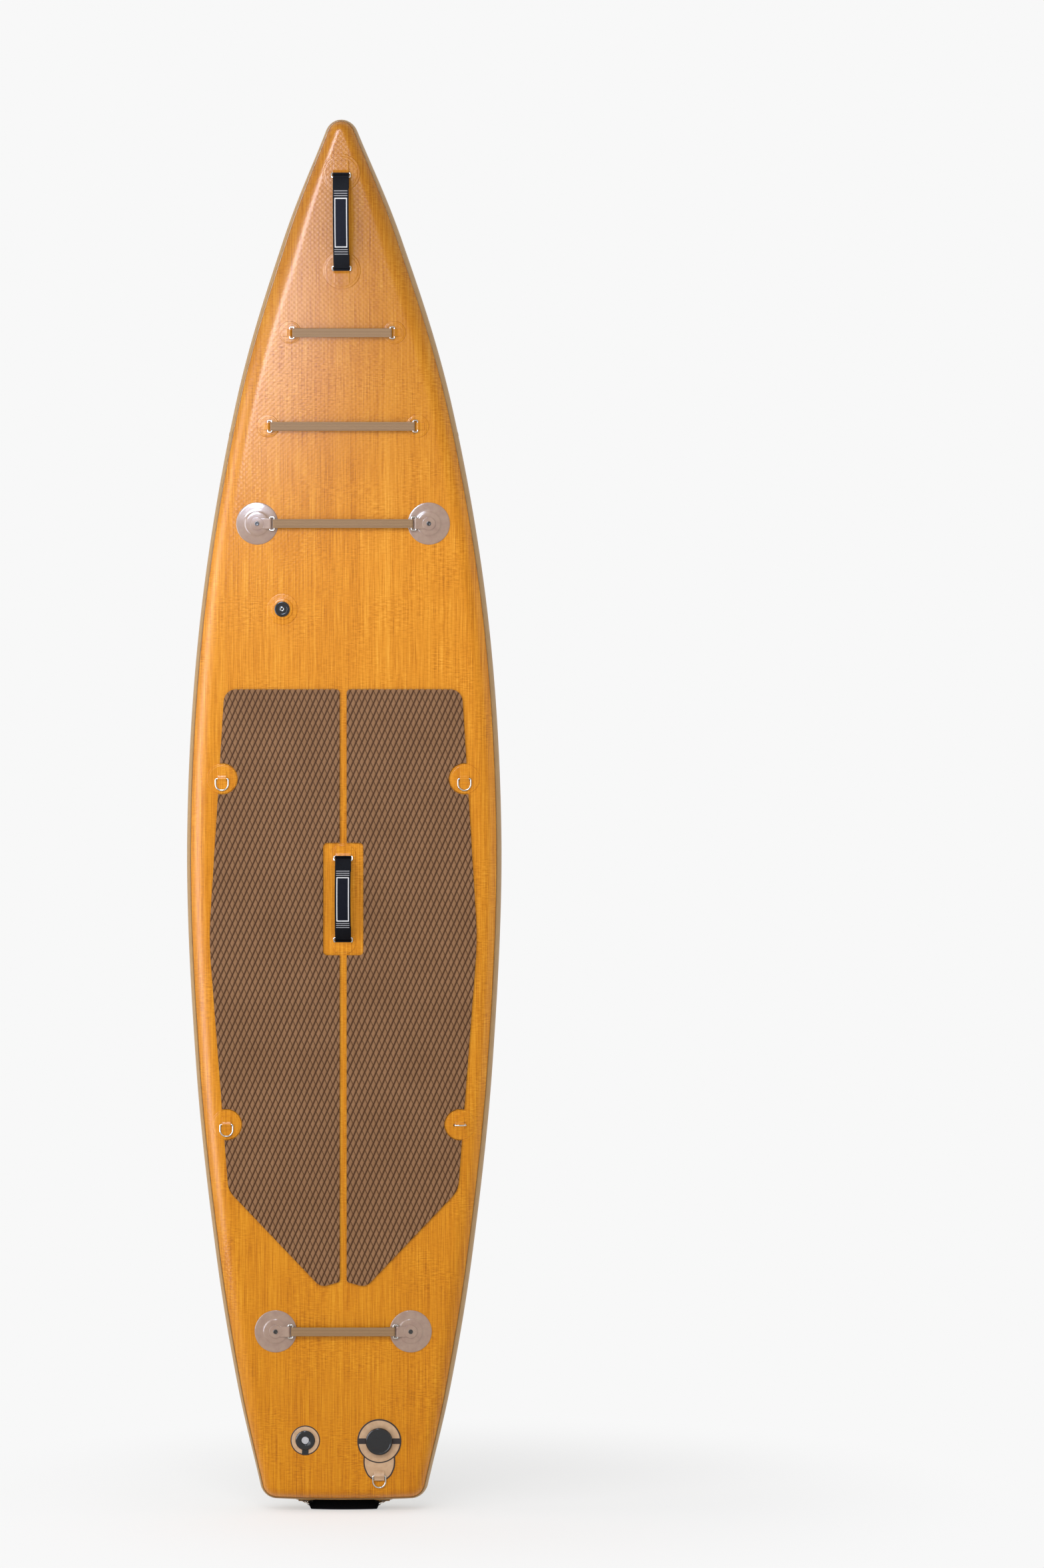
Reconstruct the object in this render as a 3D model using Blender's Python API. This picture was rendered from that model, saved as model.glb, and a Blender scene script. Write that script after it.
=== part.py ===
"""An inflatable touring stand up paddleboard, standing on its tail with the deck to the front.

The pieces are drawn in the board's own frame, as it floats: x to the right, y to the nose and
z up out of the deck, with the origin on the hull under the carry handle. One empty then stands
the board up, so the nose points to +Z and the deck faces -Y.
"""

import math

import bmesh
import bpy
import numpy as np
from mathutils import Matrix, Vector

# Overall sizes
LENGTH = 3.660
HALF_WIDTH = 0.4185
THICKNESS = 0.152
# The carry handle is at the balance point, and the origin is under it
ORIGIN_FROM_TAIL = 0.4388 * LENGTH
# The planform: shares of the length from the tail and of the half width
SIDE_STATIONS = (
    (0.0866, 0.6820),
    (0.1831, 0.8189),
    (0.3178, 0.9431),
    (0.4814, 1.0000),
    (0.6451, 0.9137),
    (0.7992, 0.6820),
    (0.9148, 0.3747),
)
SIDE_STEPS = 31
TAIL_HALF_EDGE = 0.178
TAIL_BOW = 0.004
TAIL_CORNER_RADIUS = 0.045
NOSE_RADIUS = 0.042
NOSE_HALF_ANGLE = math.radians(25)
# Rails and rocker
RAIL_DEPTH = 0.050
RAIL_DEPTH_TAIL = 0.038
RAIL_DEPTH_NOSE = 0.030
RAIL_BLEND = 0.45
NOSE_ROCKER_START = LENGTH - 1.46
NOSE_ROCKER = 0.18
# Skins, seams and fits
SKIN = 0.0016
BAND = 0.0016
BAND_ANGLE = math.radians(38)
LAP_ANGLE = math.radians(12)
FIT = 0.0003
SEAT = 0.0008
# Drop stitch core
PLY = 0.0008
THREAD = 0.004
CORE_TAIL_END = 0.30
CORE_NOSE_END = LENGTH - 0.46
CORE_STRAIGHT_ROWS = 4
CORE_ROCKER_ROWS = 9
CORE_COLUMNS = 4
CORE_MARGIN = 0.012
# Cargo straps: stations, and how far their bars lie in from the edge of the board
BUNGEES = {
    1: (LENGTH - 0.554, 0.099),
    2: (LENGTH - 0.799, 0.101),
    3: (LENGTH - 1.056, 0.154),
    4: (0.456, 0.165),
}
# Deck pads, between the third and the fourth cargo strap
PAD_THICKNESS = 0.005
PAD_GAP = 0.0185
PAD_TOP = BUNGEES[3][0] - 0.440
PAD_BOTTOM = BUNGEES[4][0] + 0.118
PAD_WIDEST = ORIGIN_FROM_TAIL - 0.107
PAD_HIP = PAD_BOTTOM + 0.257
PAD_INSET = 0.057
PAD_TOP_INSET = 0.085
PAD_TIP = 0.060
PAD_TIP_RISE = 0.014
PAD_CLEARANCE = 0.002
WINDOW_HALF = 0.0537
WINDOW_RADIUS = 0.0105
# Wire rings, webbing and patches
WIRE = 0.0040
PATCH = 0.0012
LOOP = 0.0015
DEE_WIDTH = 0.034
DEE_HEIGHT = 0.031
WEBBING = 0.042
WEBBING_THICKNESS = 0.0022
ELASTIC = 0.0235
ELASTIC_THICKNESS = 0.0020
BAR_PITCH = 0.012
HANDLE_RISE = 0.030
TAIL_HANDLE_RISE = 0.012
HANDLE_FOLD = 0.0045
LOOP_INSET = 0.004
HOOK_FIT = 0.0005
HANDLE_FAR_BAR = 0.0090
ELASTIC_FAR_BAR = 0.0085
# Handles: half lengths and patches
NOSE_HANDLE = LENGTH - 0.267
NOSE_HANDLE_HALF = 0.119
CARRY_HANDLE_HALF = 0.1075
TAIL_HANDLE_HALF = 0.098
NOSE_PATCH_RADIUS = 0.050
CARRY_PATCH_RADIUS = 0.034
TAIL_PATCH_RADIUS = 0.026
BUNGEE_PATCH_RADIUS = 0.030
CUP_RADIUS = 0.056
CUP_OFFSET = 0.034
CUP_HEIGHT = 0.0067
CUP_BAR = 0.0072
CUP_BUNGEES = (3, 4)
CUP_DOME_RADIUS = 0.032
TAB_WIDTH = 0.028
TAB_HEAD_RADIUS = 0.0175
TAB = 0.0022
# Side rings: side, station, inset from the edge and how far the ring is lifted, in degrees
SIDE_RINGS = {
    "upper_left": (-1, PAD_TOP - 0.238, 0.092, 0),
    "upper_right": (1, PAD_TOP - 0.238, 0.092, 0),
    "lower_left": (-1, PAD_BOTTOM + 0.432, 0.071, 0),
    "lower_right": (1, PAD_BOTTOM + 0.432, 0.071, 90),
}
SIDE_PATCH_RADIUS = 0.040
ACTION_MOUNT = (-0.162, PAD_TOP + 0.213)
# Valves and leash
VALVE = (0.096, 0.164)
VALVE_PLATE_RADIUS = 0.0585
VALVE_FLANGE_RADIUS = 0.034
VALVE_NECK_RADIUS = 0.021
VALVE_BORE = 0.016
VALVE_DEPTH = 0.036
VALVE_STEM_TOP = -0.0005
VALVE_SPRING_TURNS = 5
VALVE_SPRING_WIRE = 0.0006
RELIEF = (-0.101, 0.166)
RELIEF_FLANGE_RADIUS = 0.026
RELIEF_NECK_RADIUS = 0.015
RELIEF_POPPET_RADIUS = 0.010
LEASH_TONGUE_WIDTH = 0.083
LEASH_TONGUE_END = 0.060
LEASH_BAR = 0.072
# Fin and fin box
FIN_BOX_CENTRE = 0.440
FIN_BOX_LENGTH = 0.300
FIN_BOX_WIDTH = 0.030
FIN_BOX_HEIGHT = 0.028
FIN_FLANGE_WIDTH = 0.090
FIN_FLANGE_MARGIN = 0.040
FIN_FLANGE = 0.003
FIN_SLOT = 0.0100
FIN_GROOVE = 0.0180
FIN_GROOVE_HEIGHT = 0.008
FIN_FIT = 0.0004
FIN_ROOT = 0.190
FIN_DEPTH = 0.225
FIN_TONGUE = 0.150

for old in list(bpy.data.objects):
    bpy.data.objects.remove(old, do_unlink=True)

stand = bpy.data.objects.new("board_stand", None)
bpy.context.collection.objects.link(stand)
stand.rotation_euler = (math.radians(90), 0, 0)


def paint(name, colour, roughness, metallic=0.0):
    """A plain Principled material from an sRGB hex colour."""
    material = bpy.data.materials.new(name)
    material.use_nodes = True
    shader = material.node_tree.nodes["Principled BSDF"]
    rgb = [int(colour[i : i + 2], 16) / 255 for i in (0, 2, 4)]
    linear = [((c + 0.055) / 1.055) ** 2.4 if c > 0.04045 else c / 12.92 for c in rgb]
    shader.inputs["Base Color"].default_value = (*linear, 1)
    shader.inputs["Roughness"].default_value = roughness
    shader.inputs["Metallic"].default_value = metallic
    return material


WOOD_PRINT = paint("wood_print_pvc", "E09A35", 0.35)
RAIL_PVC = paint("tan_rail_pvc", "A89478", 0.45)
HULL_PVC = paint("pale_hull_pvc", "D8CDB8", 0.45)
FABRIC = paint("drop_stitch_fabric", "E8E4DA", 0.9)
EVA = paint("brown_eva_foam", "8C6A50", 0.8)
BLACK_WEBBING = paint("black_webbing", "1E1E24", 0.75)
ELASTIC_WEB = paint("olive_elastic", "97805C", 0.8)
STEEL = paint("stainless_steel", "C8C8C8", 0.2, 1.0)
CUP_PVC = paint("mauve_tan_pvc", "AE9280", 0.35)
PLATE_PVC = paint("tan_plate_pvc", "BC9A78", 0.4)
BLACK_PLASTIC = paint("black_plastic", "18181A", 0.35)
GREY_PLASTIC = paint("grey_plastic", "B4B4B8", 0.45)
FIN_PLASTIC = paint("fin_black_plastic", "202022", 0.4)


def place(name, bm, material, matrix=None, parent=stand):
    """Makes one closed, outward facing piece from a bmesh, set down by a matrix."""
    bmesh.ops.remove_doubles(bm, verts=bm.verts, dist=1e-6)
    bmesh.ops.recalc_face_normals(bm, faces=bm.faces)
    mesh = bpy.data.meshes.new(name)
    bm.to_mesh(mesh)
    bm.free()
    mesh.materials.append(material)
    mesh.shade_smooth()
    mesh.set_sharp_from_angle(angle=math.radians(35))
    piece = bpy.data.objects.new(name, mesh)
    bpy.context.collection.objects.link(piece)
    piece.parent = parent
    if matrix is not None:
        piece.matrix_local = matrix
    return piece


def guide(piece):
    """Marks a shape that only cuts or joins another."""
    piece.hide_render = True
    piece.display_type = "WIRE"
    return piece


def combine(piece, other, operation):
    """Cuts or joins one piece with a guide shape."""
    step = piece.modifiers.new(f"{operation.lower()}_{other.name}", "BOOLEAN")
    step.operation = operation
    step.object = guide(other)
    return piece


def grid_faces(rows, columns):
    """Quads of a grid of points, row by row."""
    first = np.arange((rows - 1) * columns).reshape(rows - 1, columns)[:, :-1].ravel()
    return np.stack([first, first + 1, first + columns + 1, first + columns], 1).tolist()


def from_points(points, faces):
    """A bmesh from points and faces, faces that have collapsed to a line left out."""
    bm = bmesh.new()
    verts = [bm.verts.new(p) for p in points]
    for face in faces:
        bm.faces.new([verts[i] for i in face])
    bmesh.ops.remove_doubles(bm, verts=bm.verts, dist=1e-6)
    bmesh.ops.dissolve_degenerate(bm, dist=1e-6, edges=bm.edges)
    return bm


def prism(outline, low, high):
    """An outline in x and y, extruded from one height to another."""
    bm = bmesh.new()
    base = bm.faces.new([bm.verts.new((x, y, low)) for x, y in outline])
    top = bmesh.ops.extrude_face_region(bm, geom=[base])
    moved = [v for v in top["geom"] if isinstance(v, bmesh.types.BMVert)]
    bmesh.ops.translate(bm, verts=moved, vec=(0, 0, high - low))
    return bm


def side_prism(outline, width):
    """An outline in y and z, extruded to a width across x, centred."""
    bm = prism(outline, -width / 2, width / 2)
    turn = Matrix(((0, 0, 1, 0), (1, 0, 0, 0), (0, 1, 0, 0), (0, 0, 0, 1)))
    bmesh.ops.transform(bm, matrix=turn, verts=bm.verts)
    return bm


def arc(centre, radius, start, end, steps):
    """Points along an arc, angles in degrees."""
    angles = np.radians(np.linspace(start, end, steps + 1))
    return [(centre[0] + radius * math.cos(a), centre[1] + radius * math.sin(a)) for a in angles]


def rounded(corners, steps=6):
    """A polygon whose corners (x, y, radius) are rounded by arcs."""
    points = []
    count = len(corners)
    for i, (x, y, radius) in enumerate(corners):
        here = Vector((x, y))
        before = (Vector(corners[i - 1][:2]) - here).normalized()
        after = (Vector(corners[(i + 1) % count][:2]) - here).normalized()
        half = before.angle(after) / 2
        reach = radius / math.tan(half)
        middle = here + (before + after).normalized() * radius / math.sin(half)
        start = here + before * reach - middle
        sweep = start.angle_signed(here + after * reach - middle)
        for k in range(steps + 1):
            turned = start.copy()
            turned.rotate(Matrix.Rotation(-sweep * k / steps, 2))
            points.append(tuple(middle + turned))
    return points


def turned(profile, steps):
    """A solid of revolution about z from a closed loop of (radius, height)."""
    angles = np.linspace(0, 2 * math.pi, steps, endpoint=False)
    loop = np.array(profile)
    points = np.stack(
        [
            np.outer(np.cos(angles), loop[:, 0]),
            np.outer(np.sin(angles), loop[:, 0]),
            np.outer(np.ones(steps), loop[:, 1]),
        ],
        2,
    ).reshape(-1, 3)
    count = len(loop)
    faces = []
    for i in range(steps):
        for j in range(count):
            a, b = i * count, ((i + 1) % steps) * count
            k = (j + 1) % count
            faces.append((a + j, b + j, b + k, a + k))
    return from_points(points.tolist(), faces)


def wire_loop(path, radius, sides=6):
    """A round wire bent to a closed loop of points in the x y plane."""
    path = np.array(path)
    ahead = np.roll(path, -1, 0) - np.roll(path, 1, 0)
    ahead /= np.linalg.norm(ahead, axis=1)[:, None]
    out = np.stack([ahead[:, 1], -ahead[:, 0]], 1)
    angles = np.arange(sides) * 2 * math.pi / sides + math.pi / sides
    flat = path[:, None, :] + radius * np.cos(angles)[None, :, None] * out[:, None, :]
    rise = np.broadcast_to(radius * np.sin(angles), flat.shape[:2])
    points = np.concatenate([flat, rise[..., None]], 2).reshape(-1, 3)
    count = len(path)
    faces = []
    for i in range(count):
        for j in range(sides):
            a, b = i * sides, ((i + 1) % count) * sides
            k = (j + 1) % sides
            faces.append((a + j, a + k, b + k, b + j))
    return from_points(points.tolist(), faces)


def through(points, count):
    """A smooth curve through points, as even steps along a Catmull-Rom spline."""
    p = np.array(points)
    p = np.vstack([2 * p[0] - p[1], p, 2 * p[-1] - p[-2]])
    curve = []
    for i in range(1, len(p) - 2):
        for u in np.linspace(0, 1, 24, endpoint=i == len(p) - 3):
            a = 2 * p[i]
            b = p[i + 1] - p[i - 1]
            c = 2 * p[i - 1] - 5 * p[i] + 4 * p[i + 1] - p[i + 2]
            d = -p[i - 1] + 3 * p[i] - 3 * p[i + 1] + p[i + 2]
            curve.append(0.5 * (a + b * u + c * u**2 + d * u**3))
    curve = np.array(curve)
    run = np.concatenate([[0], np.cumsum(np.linalg.norm(np.diff(curve, axis=0), axis=1))])
    steps = np.linspace(0, run[-1], count)
    return np.stack([np.interp(steps, run, curve[:, k]) for k in (0, 1)], 1)


def rocker(station):
    """How far the board's bottom is lifted at a distance from the tail."""
    nose = np.clip((station - NOSE_ROCKER_START) / (LENGTH - NOSE_ROCKER_START), 0, None)
    return NOSE_ROCKER * nose**2


def half_outline():
    """The right half of the planform from the middle of the tail to the tip of the nose."""
    edge = np.linspace(0, TAIL_HALF_EDGE, 4)
    tail = np.stack([edge, TAIL_BOW * (edge / TAIL_HALF_EDGE) ** 2], 1)
    middle = (TAIL_HALF_EDGE, TAIL_BOW + TAIL_CORNER_RADIUS)
    corner = np.array(arc(middle, TAIL_CORNER_RADIUS, -90, -8, 5))
    stations = [(w * HALF_WIDTH, s * LENGTH) for s, w in SIDE_STATIONS]
    tip = (0, LENGTH - NOSE_RADIUS)
    bow = np.array(arc(tip, NOSE_RADIUS, math.degrees(NOSE_HALF_ANGLE), 90, 5))
    side = through([corner[-1], *stations, bow[0]], SIDE_STEPS)
    return np.vstack([tail, corner[1:], side[1:-1], bow])


OUTLINE = half_outline()


def rail_depths():
    """How deep the round of the rail is at each point of the half outline."""
    run = np.concatenate([[0], np.cumsum(np.linalg.norm(np.diff(OUTLINE, axis=0), axis=1))])
    corner = TAIL_HALF_EDGE + TAIL_CORNER_RADIUS
    from_tail = np.clip((run - corner) / RAIL_BLEND, 0, 1)
    from_nose = np.clip((run[-1] - run) / RAIL_BLEND, 0, 1)
    ease_tail = from_tail**2 * (3 - 2 * from_tail)
    ease_nose = from_nose**2 * (3 - 2 * from_nose)
    tail = RAIL_DEPTH_TAIL + (RAIL_DEPTH - RAIL_DEPTH_TAIL) * ease_tail
    return RAIL_DEPTH_NOSE + (tail - RAIL_DEPTH_NOSE) * ease_nose


def outward():
    """The outward normals of the half outline."""
    ahead = np.gradient(OUTLINE, axis=0)
    normal = np.stack([ahead[:, 1], -ahead[:, 0]], 1)
    normal /= np.linalg.norm(normal, axis=1)[:, None]
    normal[0] = (0, -1)
    normal[-1] = (0, 1)
    return normal


# The band and the sheets share these angles where they lap, so that their facets lie parallel
LAP = np.array([LAP_ANGLE, BAND_ANGLE])
DEPTHS = rail_depths()
NORMALS = outward()
FLAT_EDGE = OUTLINE - NORMALS * DEPTHS[:, None]


def rail(angles, proud=0.0):
    """Points of the right rail: a half ellipse at every point of the outline."""
    inset = DEPTHS[:, None] * (1 - np.cos(angles)) - proud * np.cos(angles)
    plan = OUTLINE[:, None, :] - NORMALS[:, None, :] * inset[..., None]
    height = THICKNESS / 2 + (THICKNESS / 2 + proud) * np.sin(angles)
    lift = rocker(plan[..., 1])
    x, y = plan[..., 0], plan[..., 1] - ORIGIN_FROM_TAIL
    return np.stack([x, y, np.broadcast_to(height, x.shape) + lift], 2)


def mirrored(points):
    """The same points on the other side of the centre line."""
    return points * np.array([-1, 1, 1])


def solidified(piece, thickness, offset):
    """Gives a sheet its thickness."""
    wall = piece.modifiers.new("wall", "SOLIDIFY")
    wall.thickness = thickness
    wall.offset = offset
    wall.use_even_offset = True
    return piece


def half_width_at(station):
    """The half width of the board at a distance from the tail."""
    return float(np.interp(station, OUTLINE[:, 1], OUTLINE[:, 0]))


def flat_half_at(station):
    """The half width of the flat of the deck at a distance from the tail."""
    return float(np.interp(station, FLAT_EDGE[:, 1], FLAT_EDGE[:, 0]))


def deck_frame(x, station, yaw=0.0, lift=0.0):
    """A frame on the deck: z out of the deck, y to the nose, turned by yaw degrees."""
    slope = (rocker(station + 0.001) - rocker(station - 0.001)) / 0.002
    tilt = Matrix.Rotation(math.atan(slope), 4, "X")
    spot = Vector((x, station - ORIGIN_FROM_TAIL, THICKNESS + rocker(station)))
    turn = Matrix.Rotation(math.radians(yaw), 4, "Z")
    return Matrix.Translation(spot) @ tilt @ Matrix.Translation((0, 0, lift)) @ turn


def skin(name, sign, material):
    """The deck or hull sheet, flat across and turned down over the rails."""
    angles = np.concatenate([LAP, np.linspace(BAND_ANGLE, math.pi / 2, 4)[1:]]) * sign
    right = rail(angles)
    sheet = np.concatenate([mirrored(right), right[:, ::-1]], 1)
    rows, columns = sheet.shape[:2]
    bm = from_points(sheet.reshape(-1, 3).tolist(), grid_faces(rows, columns))
    piece = place(name, bm, material)
    if piece.data.polygons[len(piece.data.polygons) // 2].normal.z * sign < 0:
        piece.data.flip_normals()
    return solidified(piece, SKIN, -1)


def rail_band():
    """The band that closes the sides, lapped over both sheets all round."""
    angles = np.concatenate([-LAP[::-1], LAP])
    right = rail(angles, SEAT)
    left = mirrored(right)[-2:0:-1]
    ring = np.concatenate([right, left, right[:1]], 0)
    bm = from_points(ring.reshape(-1, 3).tolist(), grid_faces(len(ring), len(angles)))
    piece = place("rail_band", bm, RAIL_PVC)
    middle = piece.data.polygons[len(piece.data.polygons) // 4]
    if middle.normal.dot(middle.center) < 0:
        piece.data.flip_normals()
    return solidified(piece, BAND, 1)


def drop_stitch_core():
    """Two fabric plies inside the skins, held one board thickness apart by threads."""
    straight = np.linspace(CORE_TAIL_END, NOSE_ROCKER_START, CORE_STRAIGHT_ROWS + 1)
    curved = np.linspace(NOSE_ROCKER_START, CORE_NOSE_END, CORE_ROCKER_ROWS + 1)
    stations = np.concatenate([straight, curved[1:]])
    half = np.array([flat_half_at(s) for s in stations]) - CORE_MARGIN
    across = np.linspace(-1, 1, CORE_COLUMNS + 1)
    x = half[:, None] * across
    y = np.broadcast_to((stations - ORIGIN_FROM_TAIL)[:, None], x.shape)
    lift = np.broadcast_to(rocker(stations)[:, None], x.shape)
    clear = SKIN + SEAT
    heights = (THICKNESS - clear, THICKNESS - clear - PLY, clear + PLY, clear)
    layers = [np.stack([x, y, lift + h], 2).reshape(-1, 3) for h in heights]
    size = len(layers[0])
    cells = np.array(grid_faces(len(stations), CORE_COLUMNS + 1))
    corner = THREAD / 2 * np.array([(-1, -1, 0), (1, -1, 0), (1, 1, 0), (-1, 1, 0)])
    ends = [layers[k][cells].mean(1)[:, None, :] + corner for k in (1, 2)]
    points = np.concatenate([*layers, *(e.reshape(-1, 3) for e in ends)])
    faces = cells.tolist() + (cells + 3 * size).tolist()
    upper = 4 * size + np.arange(len(cells) * 4).reshape(-1, 4)
    lower = upper + len(cells) * 4
    for k in range(4):
        n = (k + 1) % 4
        for layer, ring in ((1, upper), (2, lower)):
            own = cells + layer * size
            faces += np.stack([own[:, k], own[:, n], ring[:, n], ring[:, k]], 1).tolist()
        faces += np.stack([upper[:, k], upper[:, n], lower[:, n], lower[:, k]], 1).tolist()
    index = np.arange(size).reshape(x.shape)
    rim = np.concatenate([index[0, :-1], index[:-1, -1], index[-1, :0:-1], index[:0:-1, 0]])
    after = np.roll(rim, -1)
    for a, b in ((0, 1), (2, 3)):
        wall = [rim + a * size, after + a * size, after + b * size, rim + b * size]
        faces += np.stack(wall, 1).tolist()
    place("drop_stitch_core", from_points(points.tolist(), faces), FABRIC)


def deck_pad(side):
    """One half of the foam deck pad, with its window half and ring notches."""
    sign = 1 if side == "right" else -1
    inner = PAD_GAP / 2
    corners = [
        (inner, PAD_TOP, 0.010),
        (half_width_at(PAD_TOP) - PAD_TOP_INSET, PAD_TOP, 0.033),
        (half_width_at(PAD_WIDEST) - PAD_INSET, PAD_WIDEST, 0.900),
        (half_width_at(PAD_HIP) - PAD_INSET, PAD_HIP, 0.060),
        (PAD_TIP, PAD_BOTTOM, 0.028),
        (inner, PAD_BOTTOM + PAD_TIP_RISE, 0.008),
    ]
    corners = [(sign * x, y - ORIGIN_FROM_TAIL, r) for x, y, r in corners]
    low = THICKNESS + FIT
    piece = place(f"deck_pad_{side}", prism(rounded(corners), low, low + PAD_THICKNESS), EVA)
    end = handle_reach(CARRY_HANDLE_HALF) + CARRY_PATCH_RADIUS + PAD_CLEARANCE
    box = [(-WINDOW_HALF, -end), (WINDOW_HALF, -end), (WINDOW_HALF, end), (-WINDOW_HALF, end)]
    opening = prism(rounded([(x, y, WINDOW_RADIUS) for x, y in box], 4), low - 0.002, low + 0.010)
    combine(piece, place(f"window_cutter_{side}", opening, EVA), "DIFFERENCE")
    for name, (ring_side, station, inset, rest) in SIDE_RINGS.items():
        if ring_side == sign:
            x = sign * (half_width_at(station) - inset)
            centre = (x, station - ORIGIN_FROM_TAIL)
            circle = arc(centre, SIDE_PATCH_RADIUS + PAD_CLEARANCE, 0, 360, 28)[:-1]
            notch = prism(circle, low - 0.002, low + 0.010)
            combine(piece, place(f"notch_{name}", notch, EVA), "DIFFERENCE")


def draped_disc(radius, thickness, sag, rings, steps=16):
    """A round sheet whose points drop by sag(x, y), with its top parallel to its bottom."""
    angles = np.linspace(0, 2 * math.pi, steps, endpoint=False)
    radii = np.linspace(0, radius, rings + 1)[1:]
    x = np.concatenate([[0], np.outer(radii, np.cos(angles)).ravel()])
    y = np.concatenate([[0], np.outer(radii, np.sin(angles)).ravel()])
    drop = np.array([sag(a, b) for a, b in zip(x, y)])
    count = len(x)
    points = np.stack([np.tile(x, 2), np.tile(y, 2), np.concatenate([-drop, thickness - drop])], 1)
    faces = []
    for i in range(steps):
        j = (i + 1) % steps
        for base in (0, count):
            faces.append((base, base + 1 + i, base + 1 + j))
            for k in range(rings - 1):
                a, b = base + 1 + k * steps, base + 1 + (k + 1) * steps
                faces.append((a + i, b + i, b + j, a + j))
        edge = 1 + (rings - 1) * steps
        faces.append((edge + i, count + edge + i, count + edge + j, edge + j))
    return from_points(points.tolist(), faces)


def no_sag(x, y):
    """A flat seat."""
    return 0.0


BAR_HEIGHT = PATCH + 0.0004 + WIRE / 2
TUNNEL = WIRE / 2 + HOOK_FIT


def loop_outline(wing, base):
    """The side view of a strap welded down on both wings and arched over a ring's bar."""
    sink = base - 0.0004
    top = base + LOOP
    outer = TUNNEL + LOOP
    crown = arc((0, BAR_HEIGHT - PATCH + base), outer, 0, 180, 8)
    inner = arc((0, BAR_HEIGHT - PATCH + base), TUNNEL, 180, 0, 8)
    start = [(wing, sink), (wing, top), (outer + 0.002, top)]
    end = [(-outer - 0.002, top), (-wing, top), (-wing, sink), (-TUNNEL, sink)]
    return start + crown + end + inner + [(TUNNEL, sink)]


def patch(name, frame, radius, loop_width, wing, material, sag=no_sag, rings=1):
    """A round welded patch with the loop that holds a ring's bar."""
    disc = place(name, draped_disc(radius, PATCH, sag, rings), material, frame)
    strap = side_prism(loop_outline(wing, PATCH), loop_width)
    return combine(disc, place(f"loop_of_{name}", strap, material, frame), "UNION")


def dee_ring(name, frame, lift_degrees):
    """A bent wire D-ring that swings on its straight bar, which lies on its own x axis."""
    half = DEE_WIDTH / 2
    bottom = -(DEE_HEIGHT - half)
    path = arc((half - 0.004, -0.004), 0.004, 90, 0, 3)
    path += arc((0, bottom), half, 0, -180, 10)
    path += arc((-half + 0.004, -0.004), 0.004, 180, 90, 3)
    swing = Matrix.Rotation(math.radians(-lift_degrees), 4, "X")
    bar = frame @ Matrix.Translation((0, 0, BAR_HEIGHT)) @ swing
    return place(name, wire_loop(path, WIRE / 2), STEEL, bar)


def slide_ring(name, frame, width, far_height, near_height=BAR_HEIGHT):
    """A rectangular wire ring from an anchor to a strap, its far bar lifted."""
    half = width / 2 + 0.0015 + WIRE / 2
    radius = 0.003
    path = []
    for x, y, start in ((half, 0, 90), (half, -BAR_PITCH, 0), (-half, -BAR_PITCH, -90)):
        middle = (x - math.copysign(radius, x), y - radius if y == 0 else y + radius)
        path += arc(middle, radius, start, start - 90, 2)
    path += arc((-half + radius, -radius), radius, 180, 90, 2)
    tilt = math.asin((far_height - near_height) / BAR_PITCH)
    bar = frame @ Matrix.Translation((0, 0, near_height)) @ Matrix.Rotation(-tilt, 4, "X")
    return place(name, wire_loop(path, WIRE / 2), STEEL, bar)


def far_bar(far_height, near_height=BAR_HEIGHT):
    """How far the strap's bar of a slide ring lies from its anchor's bar."""
    return math.sqrt(BAR_PITCH**2 - (far_height - near_height) ** 2)


def band_outline(line, thickness):
    """The outline of a strip of one thickness along a line of points."""
    line = np.array(line)
    ahead = np.gradient(line, axis=0)
    normal = np.stack([-ahead[:, 1], ahead[:, 0]], 1)
    normal *= thickness / 2 / np.linalg.norm(normal, axis=1)[:, None]
    return np.vstack([line + normal, (line - normal)[::-1]]).tolist()


def strap(name, frame, half, bar_height, rise, width, thickness, fold, material):
    """A flat strap folded round a bar at each end, in a frame whose y runs along it."""
    turn = WIRE / 2 + HOOK_FIT + thickness / 2
    end = half
    line = [(end - fold, bar_height - turn), (end, bar_height - turn)]
    line += arc((end, bar_height), turn, -60, 90, 5)
    steps = np.linspace(0, math.pi / 2, 7)[1:]
    for a in steps:
        line.append((end * math.cos(a), bar_height + turn + rise * math.sin(a) ** 1.5))
    line += [(-y, z) for y, z in line[-2::-1]]
    place(name, side_prism(band_outline(line, thickness), width), material, frame)


def frame_between(lower, upper):
    """A frame midway between two frames, with y from the lower to the upper."""
    a, b = lower.translation, upper.translation
    y = (b - a).normalized()
    x = lower.to_3x3().col[0]
    x = (x - y * x.dot(y)).normalized()
    turn = Matrix((x, y, x.cross(y))).transposed().to_4x4()
    return Matrix.Translation((a + b) / 2) @ turn


def handle_reach(half):
    """How far the anchor bars of a handle lie from its middle."""
    return half - HANDLE_FOLD + far_bar(HANDLE_FAR_BAR)


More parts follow.
